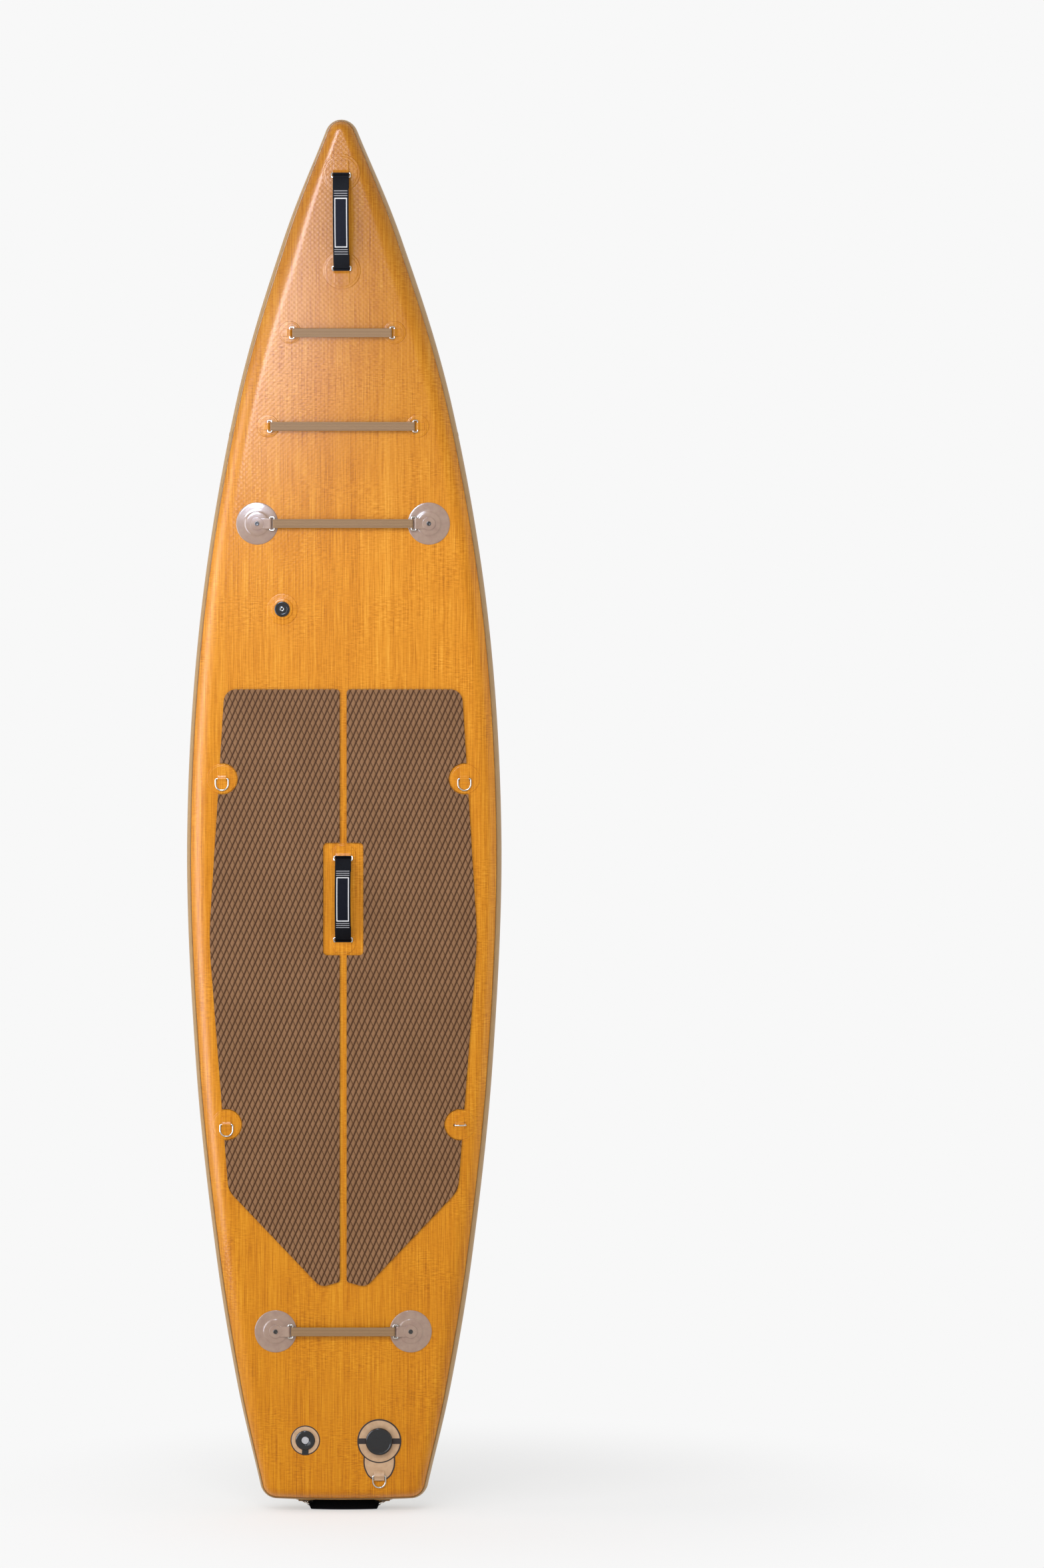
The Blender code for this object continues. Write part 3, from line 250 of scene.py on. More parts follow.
EDGE = board_edge()
ahead = np.gradient(EDGE, axis=0)
OUTWARD = unit(np.stack([ahead[:, 1], -ahead[:, 0]], 1))
OUTWARD[0], OUTWARD[-1] = (0, -1), (0, 1)
run = run_along(EDGE)
from_tail = eased((run - TAIL_HALF_EDGE - TAIL_CORNER) / RAIL_BLEND)
from_nose = eased((run[-1] - run) / RAIL_BLEND)
DEPTHS = RAIL_DEPTH_TAIL + (RAIL_DEPTH - RAIL_DEPTH_TAIL) * from_tail
DEPTHS = RAIL_DEPTH_NOSE + (DEPTHS - RAIL_DEPTH_NOSE) * from_nose


def rail(angles, proud=0.0):
    """The right rail: at each point of the edge an arc of an ellipse, as deep as the rail and as
    high as half the board, lifted by the rocker, in the standing frame."""
    inset = DEPTHS[:, None] * (1 - np.cos(angles)) - proud * np.cos(angles)
    plan = EDGE[:, None] - OUTWARD[:, None] * inset[..., None]
    high = THICKNESS / 2 + (THICKNESS / 2 + proud) * np.sin(angles) + rocker(plan[..., 1])
    return np.stack([plan[..., 0], -high, plan[..., 1] - ORIGIN], 2)


def all_round(right):
    """What runs along the right rail, carried on along the left one to where it began."""
    return np.concatenate([right, (right * MIRROR)[-2:0:-1]])


def tied(made, material, stands_for=None, body="board"):
    """Gives a piece its finish, and says which body it rides on and which solid it stands for."""
    made.data.materials.append(material)
    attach(made, body)
    if stands_for:
        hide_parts(stands_for)
    return made


def grid_mesh(name, grid, material, wrap_rows=False, wrap_columns=False, uv=None, caps=False,
              keep=None, **ties):
    """A piece from a grid of points, a quad for every four neighbours. Wrapping joins the last row
    or column to the first, caps close the two end rows with one face each, keep says which quads
    stay, and ties are as for tied."""
    rows, columns = grid.shape[:2]
    i, j = np.meshgrid(np.arange(rows - 1 + wrap_rows), np.arange(columns - 1 + wrap_columns),
                       indexing="ij")
    corner = [(i, j), (i, j + 1), (i + 1, j + 1), (i + 1, j)]
    points = grid.reshape(-1, 3)
    faces = np.stack([(a % rows) * columns + b % columns for a, b in corner], -1).reshape(-1, 4)
    if keep is not None:
        used, faces = np.unique(faces[keep.ravel()], return_inverse=True)
        points, faces = points[used], faces.reshape(-1, 4)
    ends = []
    if caps:
        ends = [list(range(columns)), list(range((rows - 1) * columns, rows * columns))]
    mesh = bpy.data.meshes.new(name)
    mesh.from_pydata(points.tolist(), [], faces.tolist() + ends)
    if uv is not None:
        across = uv.shape[1]
        loops = np.stack([a * across + b for a, b in corner], -1).ravel()
        spare = np.zeros((sum(len(e) for e in ends), 2))
        flat = np.vstack([uv.reshape(-1, 2)[loops], spare])
        mesh.uv_layers.new(name="surface").data.foreach_set("uv", flat.astype(np.float32).ravel())
    tidy(mesh)
    made = bpy.data.objects.new(name, mesh)
    scene.collection.objects.link(made)
    return tied(made, material, **ties)


def tidy(mesh):
    """Closes poles and seams, turns the faces outwards and shades smooth up to a sharp edge."""
    work = bmesh.new()
    work.from_mesh(mesh)
    bmesh.ops.remove_doubles(work, verts=work.verts, dist=WELD)
    bmesh.ops.dissolve_degenerate(work, dist=SPECK, edges=work.edges)
    bmesh.ops.recalc_face_normals(work, faces=work.faces)
    work.to_mesh(mesh)
    work.free()
    mesh.shade_smooth()
    mesh.set_sharp_from_angle(angle=SHARP_EDGE)


def finish(name, slot, **constants):
    """A Principled material and its node tree, with what is the same all over on the shader's own
    sockets, whose names have underscores for spaces. The slot is not used."""
    made = bpy.data.materials.new(name)
    made.use_nodes = True
    sockets = made.node_tree.nodes["Principled BSDF"].inputs
    for key, value in constants.items():
        sockets[key.replace("_", " ")].default_value = value
    return made, made.node_tree


def paint(tree, **looks):
    """Links what varies over the surface to the Principled shader's sockets."""
    for key, value in looks.items():
        tree.links.new(value, tree.nodes["Principled BSDF"].inputs[key.replace("_", " ")])


def grain(size):
    """The scale of a noise whose patches are about this many millimetres across."""
    return 1000 / size


def mottled(name, slot, dark, light, size, detail=2.0, relief=None, **constants):
    """A finish that wanders between two shades in patches of a size in millimetres. Relief, where
    given, is the size, detail, strength and height of a fine grain that catches the light."""
    made, tree = finish(name, slot, **constants)
    at = add(tree, "TexCoord")["Object"]
    cloud = add(tree, "TexNoise", {"Vector": at, "Scale": grain(size), "Detail": detail})
    paint(tree, Base_Color=add(tree, "ValToRGB", (cloud[0],), ((0.3, dark), (0.7, light)))[0])
    if relief:
        fine, layers, strength, height = relief
        grit = add(tree, "TexNoise", {"Vector": at, "Scale": grain(fine), "Detail": layers})
        paint(tree, Normal=add(
            tree, "Bump", {"Height": grit[0], "Strength": strength, "Distance": height})[0])
    return made


def wave(tree, run, radians):
    """The sine of a run times a number of radians."""
    turn = add(tree, "Math", (run, radians), operation="MULTIPLY")
    return add(tree, "Math", (turn[0],), operation="SINE")[0]


STITCH = 0.014


def dimples(tree, x, z):
    """The dimples that the drop stitch threads pull into a sheet: a sine across times one along."""
    waves = [wave(tree, axis, 2 * math.pi / STITCH) for axis in (x, z)]
    return add(tree, "Math", waves, operation="MULTIPLY")[0]


# Printed PVC: a satin film over woven cloth. The print is honey-coloured wood: fine pores along
# the board, broad streaks, arched growth lines and patches of cross figure. Over the print lies
# painted shade, darker and less blue towards the tail and a little darker towards the nose. The
# dimples show where the light grazes the sheet. The pores are drawn coarser than real, to show.
GRAIN_STRETCH, CURL_STRETCH, GROWTH_LINE = 0.022, 0.16, 0.01047
WOOD, tree = finish("wood_print_pvc", "wood_print_pvc", Roughness=0.30, Specular_IOR_Level=0.20)
at = add(tree, "TexCoord")["Object"]
x, _, z = add(tree, "SeparateXYZ", (at,))
long = add(tree, "Math", (z, GRAIN_STRETCH), operation="MULTIPLY")
along = add(tree, "CombineXYZ", {"X": x, "Z": long[0]})[0]
pores = add(tree, "TexNoise", {"Vector": along, "Scale": grain(2.2), "Detail": 4.0, "Roughness": 0.6})
streak = add(tree, "TexNoise", {"Vector": along, "Scale": grain(14), "Detail": 4.0, "Distortion": 0.3})
broad = add(tree, "TexNoise", {"Vector": along, "Scale": grain(70), "Detail": 2.0})
arch = add(tree, "TexWave",
           {"Vector": along, "Scale": 2 * math.pi / (20 * GROWTH_LINE), "Distortion": 7.0,
            "Detail": 2.0, "Detail Scale": 0.8},
           bands_direction="X", wave_profile="SAW")
short = add(tree, "Math", (x, CURL_STRETCH), operation="MULTIPLY")
across = add(tree, "CombineXYZ", {"X": short[0], "Z": z})[0]
curl = add(tree, "TexNoise", {"Vector": across, "Scale": grain(3.1), "Detail": 3.0, "Roughness": 0.6})
curl = add(tree, "Math", (curl[0], 0.5), operation="SUBTRACT")
patches = add(tree, "TexNoise", {"Vector": at, "Scale": grain(140), "Detail": 2.0})
patchy = add(tree, "MapRange", {"Value": patches[0], "From Min": 0.46, "From Max": 0.66,
                                "To Min": 0.14, "To Max": 0.46})
total = add(tree, "Math", (curl[0], patchy[0]), operation="MULTIPLY")[0]
for part, share in ((pores[0], 0.42), (streak[0], 0.17), (broad[0], 0.12), (arch["Fac"], 0.05)):
    total = add(tree, "Math", (part, share, total), operation="MULTIPLY_ADD")[0]
tint = add(tree, "ValToRGB", (total,),
           ((0.22, "98570A"), (0.34, "C87C16"), (0.41, "D98E22"), (0.52, "E9A63C")))
# Painted shade: a ramp along the board multiplies the print darker and less blue towards the tail, and a
# little darker towards the nose.
share = add(tree, "MapRange", {"Value": z, "From Min": -1.7, "From Max": 2.05})
ends = add(tree, "ValToRGB", (share[0],),
           ((0.0, "EEEA80"), (0.62, "FFFFFF"), (0.70, "FFFFFF"), (0.92, "D4D4D4")))
deep = add(tree, "Mix", {"Factor": 1.0, "A": tint[0], "B": ends[0]}, data_type="RGBA",
           blend_type="MULTIPLY")
height = add(tree, "Math", (pores[0], 0.25, dimples(tree, x, z)), operation="MULTIPLY_ADD")
bump = add(tree, "Bump", {"Height": height[0], "Strength": 0.16, "Distance": 0.0006})
paint(tree, Base_Color=deep["Result"], Normal=bump[0])

# Pale PVC of the underside: calendered film, even in colour, with the same dimples as the deck.
HULL_PVC, tree = finish("pale_hull_pvc", "pale_hull_pvc", Roughness=0.42)
at = add(tree, "TexCoord")["Object"]
x, _, z = add(tree, "SeparateXYZ", (at,))
cloud = add(tree, "TexNoise", {"Vector": at, "Scale": grain(170), "Detail": 5.0})
tint = add(tree, "ValToRGB", (cloud[0],), ((0.3, "D6CBB5"), (0.7, "DAD0BB")))
bump = add(tree, "Bump", {"Height": dimples(tree, x, z), "Strength": 0.3, "Distance": 0.0006})
paint(tree, Base_Color=tint[0], Normal=bump[0])

# Tan PVC of the band: the same film, faintly mottled by the weld and dull from the cloth under it.
BAND_PVC = mottled("tan_rail_pvc", "tan_rail_pvc", "A4804F", "AD8957", 25, 4.0, (1.1, 2.0, 0.25, 0.0003),
                   Roughness=0.42, Specular_IOR_Level=0.2)

# Polyester yarn of the drop stitch core: raw white thread, quite matt.
THREADS = mottled("drop_stitch_polyester", None, "DEDACE", "EEEAE2", 3.3, Roughness=0.9)


def dressed(node, material):
    """Gives its finish to a solid that is shown as it is."""
    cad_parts[node].data.materials.clear()
    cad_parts[node].data.materials.append(material)


def hull_sheet(name, side, material, stands_for, holes=()):
    """A sheet from lap to lap: up the left rail, straight across the flat, down the right rail.
    side is 1 for the deck and -1 for the underside; round holes are left open."""
    right = rail(np.linspace(LAP_ANGLE, math.pi / 2, RAIL_POINTS) * side)
    left = right * MIRROR
    share = np.linspace(0, 1, FLAT_POINTS)[1:-1, None]
    flat = left[:, -1:] * (1 - share) + right[:, -1:] * share
    grid = np.concatenate([left, flat, right[:, ::-1]], 1)
    middle = (grid[:-1, :-1] + grid[:-1, 1:] + grid[1:, 1:] + grid[1:, :-1])[..., [0, 2]] / 4
    keep = np.ones(middle.shape[:2], bool)
    for (x, station), radius in holes:
        keep &= np.linalg.norm(middle - (x, station - ORIGIN), axis=2) >= radius
    made = grid_mesh(name, grid, material, keep=keep, stands_for=stands_for)
    faces = made.data.polygons
    if faces[len(faces) // 2].normal.y * side > 0:
        made.data.flip_normals()
    wall = made.modifiers.new("sheet", "SOLIDIFY")
    wall.thickness, wall.offset = SKIN, -1


dressed("drop_stitch_core", THREADS)
hull_sheet("deck_sheet", 1, WOOD, "deck_skin", [(VALVE, VALVE_HOLE), (RELIEF, RELIEF_HOLE)])
hull_sheet("hull_sheet", -1, HULL_PVC, "hull_skin")
BAND_ANGLES = np.linspace(-BAND_ANGLE, BAND_ANGLE, BAND_POINTS)
inner, outer = (all_round(rail(BAND_ANGLES, SEAT + high)) for high in (0, BAND))
grid_mesh("rail_band_pvc", np.concatenate([outer, inner[:, ::-1]], 1), BAND_PVC, wrap_rows=True,
          wrap_columns=True, stands_for="rail_band")


def wire(name, path, radius, material, sides=10, up=(0, 1, 0), closed=True, **ties):
    """A round wire along a path: a circle set square to the path at each of its points."""
    path = np.asarray(path)
    ahead = np.roll(path, -1, 0) - np.roll(path, 1, 0) if closed else np.gradient(path, axis=0)
    ahead = unit(ahead)
    side = unit(np.cross(ahead, np.broadcast_to(up, ahead.shape)))
    lift = np.cross(side, ahead)
    turn = np.arange(sides) * 2 * math.pi / sides
    circle = np.cos(turn)[None, :, None] * side[:, None] + np.sin(turn)[None, :, None] * lift[:, None]
    return grid_mesh(name, path[:, None] + radius * circle, material, wrap_rows=closed,
                     wrap_columns=True, caps=not closed, **ties)


# Seam sealer: a thin bead of glue squeezed out along both edges of the band, a darker line to the eye.
BEAD, BEAD_PAST, BEAD_PROUD = 0.0010, 0.012, 0.0006
SEALER = mottled("seam_sealer", "tan_rail_pvc", "7C5E38", "94744A", 8, Roughness=0.5)
for name, side in (("deck", 1), ("hull", -1)):
    line = all_round(rail(np.array([side * (BAND_ANGLE + BEAD_PAST)]), BEAD_PROUD)[:, 0])
    wire(f"seam_bead_{name}", line, BEAD, SEALER, 6)


# The deck pads: closed-cell EVA foam in two halves, cut with a lattice of V grooves into diamonds
# about 15 mm wide and 34 mm long, and glued down round the carry handle and the side rings.
DIAMOND_HALF = (0.00765, 0.0172)
GROOVE_DEPTH, GROOVE_SHOULDER, GROOVE_LIP = 0.0015, 0.0006, 0.00005
GROOVE_SHARES = ((1.0, 0.86, 0.76), (1.0, 0.66, 0.46))
PAD_TOP_FACE, PAD_FOOT, PAD_SPARE = -0.1573, -0.1523, 0.004
PAD_REACH = ((0.004, 0.372), (-1.045, 0.575))
CUT_EDGE = math.radians(25)

# EVA foam: dull and skinless, with fine open cells on the cut tops and painted shade in the grooves.
EVA, tree = finish("brown_eva_foam", "brown_eva_foam", Roughness=0.9, Specular_IOR_Level=0.12)
at = add(tree, "TexCoord")["Object"]
_, y, _ = add(tree, "SeparateXYZ", (at,))
# Painted shade: the colour runs from the tops' brown down to a near black brown at each groove's floor.
rise = add(tree, "MapRange", {"Value": y, "From Min": PAD_TOP_FACE + GROOVE_DEPTH,
                              "From Max": PAD_TOP_FACE + 2 * GROOVE_LIP})
speck = add(tree, "TexNoise", {"Vector": at, "Scale": grain(2.4), "Detail": 3.0})
cloud = add(tree, "TexNoise", {"Vector": at, "Scale": grain(110), "Detail": 3.0})
grey = add(tree, "Math", (speck[0], 0.5, 0.15), operation="MULTIPLY_ADD")
grey = add(tree, "Math", (cloud[0], 0.4, grey[0]), operation="MULTIPLY_ADD")
top = add(tree, "ValToRGB", (grey[0],), ((0.3, "7C5A3D"), (0.75, "906C4E")))
tint = add(tree, "Mix", {"Factor": rise[0], "A": linear("361E10"), "B": top[0]}, data_type="RGBA")
bump = add(tree, "Bump", {"Height": speck[0], "Strength": 0.4, "Distance": 0.0004})
paint(tree, Base_Color=tint["Result"], Normal=bump[0])


def diamond_block(name, sign):
    """A slab of foam with a lattice of diamonds on top. Each diamond is three rings of four
    corners: at the groove's floor, on its shoulder and on the flat; neighbours share the floor.
    The grooves that rise to the right are cut wider than the others."""
    (x0, x1), (z0, z1) = PAD_REACH
    a, b = DIAMOND_HALF
    i, j = np.meshgrid(np.arange(int((x1 - x0) / (2 * a))), np.arange(int((z1 - z0) / b)),
                       indexing="ij")
    middle = np.stack([x0 + a * (2 * i + j % 2), z0 + b * j], -1).reshape(-1, 1, 1, 2)
    ring = np.array(GROOVE_SHARES[::sign])[..., None, None]
    rising = np.outer((1, 1, -1, -1), (a / 2, b / 2))
    falling = np.outer((-1, 1, 1, -1), (-a / 2, b / 2))
    sink = np.array([GROOVE_DEPTH, GROOVE_SHOULDER, GROOVE_LIP])
    plan = middle + ring[0] * rising + ring[1] * falling
    depth = np.broadcast_to(PAD_TOP_FACE + sink[:, None], plan.shape[:-1])
    points = np.stack([sign * plan[..., 0], depth, plan[..., 1]], -1).reshape(-1, 3)
    base = np.arange(len(middle))[:, None, None] * 12
    k = np.arange(4)
    walls = [np.stack([r * 4 + k, r * 4 + (k + 1) % 4, r * 4 + 4 + (k + 1) % 4, r * 4 + 4 + k], -1)
             for r in (0, 1)]
    cell = np.concatenate([*walls, [[8, 9, 10, 11]]])[None]
    mesh = bpy.data.meshes.new(name)
    mesh.from_pydata(points.tolist(), [], (base + cell).reshape(-1, 4).tolist())
    work = bmesh.new()
    work.from_mesh(mesh)
    bmesh.ops.remove_doubles(work, verts=work.verts, dist=10 * WELD)
    rim = [edge for edge in work.edges if edge.is_boundary]
    skirt = bmesh.ops.extrude_edge_only(work, edges=rim)["geom"]
    foot = [part for part in skirt if isinstance(part, bmesh.types.BMVert)]
    bmesh.ops.scale(work, vec=(1, 0, 1), verts=foot)
    bmesh.ops.translate(work, vec=(0, PAD_FOOT + PAD_SPARE, 0), verts=foot)
    bmesh.ops.holes_fill(work, edges=[edge for edge in work.edges if edge.is_boundary], sides=0)
    bmesh.ops.recalc_face_normals(work, faces=work.faces)
    work.to_mesh(mesh)
    work.free()
    made = bpy.data.objects.new(name, mesh)
    scene.collection.objects.link(made)
    return made


def trimmed(made, node):
    """Cuts a piece to the part of it that lies inside a solid."""
    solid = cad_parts[node].data.copy()
    work = bmesh.new()
    work.from_mesh(solid)
    bmesh.ops.remove_doubles(work, verts=work.verts, dist=WELD)
    work.to_mesh(solid)
    work.free()
    cutter = bpy.data.objects.new("cutter", solid)
    scene.collection.objects.link(cutter)
    step = made.modifiers.new("trim", "BOOLEAN")
    step.operation, step.object, step.solver = "INTERSECT", cutter, "EXACT"
    ready = made.evaluated_get(bpy.context.evaluated_depsgraph_get())
    mesh = bpy.data.meshes.new_from_object(ready)
    made.modifiers.clear()
    made.data = mesh
    bpy.data.objects.remove(cutter)
    mesh.materials.clear()
    mesh.shade_smooth()
    mesh.set_sharp_from_angle(angle=CUT_EDGE)


for side, sign in (("left", -1), ("right", 1)):
    pad = diamond_block(f"eva_pad_{side}", sign)
    trimmed(pad, f"deck_pad_{side}")
    tied(pad, EVA, f"deck_pad_{side}")


# The grab handles: 42 mm black webbing folded round a wire ring at each end. The ring's other bar
# is held by a tab of the same print, welded to a round patch on the deck. The woven stripes and
# the frame on the webbing are white; the handle on the tail is plain and sits on the rail band.
WIRE, PATCH, LOOP, GLUE, FINE_STEP = 0.0040, 0.0012, 0.0015, 0.0004, 0.003
BAR = PATCH + GLUE + WIRE / 2
BAR_PITCH, RING_PLAY, RING_CORNER, RING_SIDES = 0.012, 0.0015, 0.003, 12
HOOK = WIRE / 2 + 0.0005
WEBBING, WEBBING_THICK, RIB_VALLEY = 0.042, 0.0022, 0.62
HANDLE_FAR_BAR, HANDLE_RISE, HANDLE_INSET, HANDLE_FOLD, ARCH_POWER = 0.0090, 0.030, 0.0045, 0.030, 1.5
HANDLES = {"nose_handle": (LENGTH - 0.267, 0.119, 0.050, 0.032),
           "carry_handle": (ORIGIN, 0.1075, 0.034, 0.027)}
HANDLE_TAB_INNER, TAB_FOOT, TAB_LESS, LOOP_START = 0.011, 0.0075, 0.004, 0.0010


def seat_at(x, station, yaw=0.0, lift=SEAT):
    """Where a fitting sits on the deck: its foot, and the right, along and out directions there,
    turned by yaw degrees about the deck's normal."""
    slope = math.atan(2 * ROCKER * max(station - ROCKER_START, 0) / (LENGTH - ROCKER_START) ** 2)
    out = np.array([0, -math.cos(slope), -math.sin(slope)])
    up = np.array([0, -math.sin(slope), math.cos(slope)])
    across = np.array([1.0, 0, 0])
    turn = math.radians(yaw)
    right = math.cos(turn) * across + math.sin(turn) * up
    along = math.cos(turn) * up - math.sin(turn) * across
    foot = np.array([x, -(THICKNESS + float(rocker(station))), station - ORIGIN])
    return foot + out * lift, right, along, out


def put(points, seat):
    """Points given along a seat's right, along and out directions, set down in the room."""
    foot, *axes = seat
    return foot + np.asarray(points) @ np.stack(axes)


def turned(name, profile, material, seat, steps=72, drop=None, **ties):
    """A surface of revolution: a profile of radius and height carried round the out direction,
    let down by drop(x, y) where the seat bends away."""
    turn = np.arange(steps) * 2 * math.pi / steps
    radius, high = np.array(profile).T
    x, y = np.outer(np.cos(turn), radius), np.outer(np.sin(turn), radius)
    z = np.broadcast_to(high, x.shape)
    if drop is not None:
        z = z - drop(x, y)
    return grid_mesh(name, put(np.stack([x, y, z], 2), seat), material, wrap_rows=True, **ties)


def softened(points, radius, steps=5):
    """A line with its corners rounded: each is replaced by a parabola that touches both sides."""
    p = np.array(points, float)
    before, after = p[:-2] - p[1:-1], p[2:] - p[1:-1]
    reach = [np.minimum(radius, np.linalg.norm(v, axis=1) * 0.45)[:, None] for v in (before, after)]
    start = p[1:-1] + unit(before) * reach[0]
    end = p[1:-1] + unit(after) * reach[1]
    u = np.linspace(0, 1, steps)[None, :, None]
    bend = start[:, None] * (1 - u) ** 2 + 2 * p[1:-1, None] * u * (1 - u) + end[:, None] * u**2
    return np.vstack([p[:1], bend.reshape(-1, 2), p[-1:]])


def strap_section(width, thick, ribs=0):
    """The section of a strap: flat or ribbed faces between round edges, as a closed loop."""
    half, edge = width / 2, thick / 2
    count = max(12, ribs * 8)
    across = np.linspace(-half + edge, half - edge, count)
    swell = np.ones(count)
    if ribs:
        swell = RIB_VALLEY + (1 - RIB_VALLEY) * np.abs(np.sin(np.linspace(0, ribs * math.pi, count)))
    face = np.stack([across, swell * thick / 2], 1)
    cap = arc((half - edge, 0), edge, 70, -70, 5)
    return np.vstack([face, cap, face[::-1] * (1, -1), cap[::-1] * (-1, 1)])


def strap(name, line, section, material, seat, share, roll=0.0, **ties):
    """A strap: its section carried along a line in the along-out plane. The uv map is the share of
    the half width across and the share of the given length along. roll turns it about the line."""
    line = np.asarray(line)
    ahead = unit(np.gradient(line, axis=0))
    across, through = section.T
    roll = np.broadcast_to(roll, len(line))
    c, s = np.cos(roll)[:, None], np.sin(roll)[:, None]
    wide, thick = across * c - through * s, across * s + through * c
    grid = np.stack([wide, line[:, :1] - ahead[:, 1:] * thick, line[:, 1:] + ahead[:, :1] * thick], 2)
    loop = np.append(across, across[0]) / np.abs(across).max()
    uv = np.stack(np.broadcast_arrays(loop[None], line[:, :1] / share), 2)
    return grid_mesh(name, put(grid, seat), material, wrap_columns=True, caps=True, uv=uv, **ties)


def strap_line(half, bar, rise, thick, fold):
    """The way of a strap: back under the bar by the fold, round it, up over the middle in an arch
    that follows a power of the sine, and the same at the other end."""
    turn = HOOK + thick / 2
    under = np.stack([np.linspace(half - fold, half, 8)[:-1], np.full(7, bar - turn)], 1)
    end = arc((half, bar), turn, -90, 90, 15)
    a = np.linspace(0, math.pi / 2, 40)[1:]
    over = np.stack([half * np.cos(a), bar + turn + rise * np.sin(a) ** ARCH_POWER], 1)
    right = np.vstack([under, end, over])
    return np.vstack([right, right[-2::-1] * (-1, 1)])


def far_bar(far, near=BAR):
    """How far the outer bar of a tilted ring lies from the anchored one, along the deck."""
    return math.sqrt(BAR_PITCH**2 - (far - near) ** 2)


def wire_ring(name, path, seat, bar, tilt, sides, body="board"):
    """A closed ring of wire, drawn flat on the seat and turned up by an angle about its bar."""
    c, s = math.cos(tilt), math.sin(tilt)
    lay = np.stack([path[:, 0], path[:, 1] * c, bar - path[:, 1] * s], 1)
    up = put([(0, s, c)], seat)[0] - seat[0]
    wire(f"{name}_wire", put(lay, seat), WIRE / 2, STEEL, sides, up, stands_for=name, body=body)


def slide_ring(name, seat, width, far, near=BAR):
    """A rectangular wire ring with round corners, tilted from the anchor's bar up to the strap's."""
    half = width / 2 + RING_PLAY + WIRE / 2 - RING_CORNER
    near_side, far_side = -RING_CORNER, RING_CORNER - BAR_PITCH
    path = np.vstack([
        arc((x, y), RING_CORNER, angle, angle - 90, 8)
        for x, y, angle in ((half, near_side, 90), (half, far_side, 0), (-half, far_side, -90),
                            (-half, near_side, 180))])
    wire_ring(name, path, seat, near, math.asin((far - near) / BAR_PITCH), RING_SIDES)


def patch_profile(radius):
    """The half section of a welded patch: a thin foot, a round edge and a slightly raised middle."""
    edge = [(0, -SEAT), (radius, -SEAT), (radius, PATCH * 0.35), (radius - 0.0010, PATCH * 0.75)]
    step = [(radius * 0.87, PATCH * 0.8), (radius * 0.85, PATCH + 0.0002), (0, PATCH + 0.0002)]
    return softened(edge + step, 0.0008)


def fine(profile):
    """The same profile with long runs cut into short ones, so that it can bend over the rail."""
    pieces = [np.linspace(a, b, max(2, int(np.linalg.norm(b - a) / FINE_STEP) + 1))[:-1]
              for a, b in zip(profile[:-1], profile[1:])]
    return np.vstack([*pieces, profile[-1:]])


def tab_line(outer, inner):
    """The side view of a welded tab: flat on the patch, up over the ring's bar and down again."""
    low = PATCH + LOOP / 2 + GLUE
    crown = arc((0, BAR), HOOK + LOOP / 2, 28, 152, 16)
    rough = np.vstack([[(outer, low), (TAB_FOOT, low)], crown, [(-TAB_FOOT, low), (-inner, low)]])
    return softened(rough, 0.002, 4)


def anchor(name, seat, radius, width, outer, inner, material, drop=None, loop=None):
    """A round patch and the tab on it that holds a ring. Where a loop finish is given, the tab ends
    on top of the ring's bar and a loop of that webbing, welded in under it, goes on round the bar."""
    profile = patch_profile(radius)
    turned(f"{name}_disc", profile if drop is None else fine(profile), material, seat, drop=drop,
           stands_for=name)
    line = tab_line(outer, inner)
    pieces = {"tab": (line, material)}
    if loop is not None:
        flat = line[:, 0] > LOOP_START
        pieces = {"tab": (line[flat], material), "loop": (line[~flat], loop)}
    for piece, (path, stuff) in pieces.items():
        strap(f"{name}_{piece}", path, strap_section(width, LOOP), stuff, seat, radius)


# Stainless wire: drawn, bent, butt-welded and polished, so that it mirrors the pale room, with a
# gloss that varies a little from handling.
STEEL, tree = finish("polished_stainless_steel", "stainless_steel", Base_Color=linear("BCB8B0"),
                     Metallic=1.0)
smear = add(tree, "TexNoise", {"Vector": add(tree, "TexCoord")["Object"], "Scale": grain(2.9),
                               "Detail": 3.0})
paint(tree, Roughness=add(tree, "MapRange", {"Value": smear[0], "To Min": 0.10, "To Max": 0.26})[0])

# On the webbing: weft turns over half the strap's length, warp turns over half its width, the
# places of the white stripes and the outer and inner edge of the frame, as shares of those halves.
WEFT, WARP, SLANT = 400.0, 60.0, 0.35
STRIPES, STRIPE_HALF, STRIPE_REACH = (0.590, 0.640, 0.692), 0.0085, 0.84
FRAME_EDGES = ((0.79, 0.545), (0.67, 0.520))


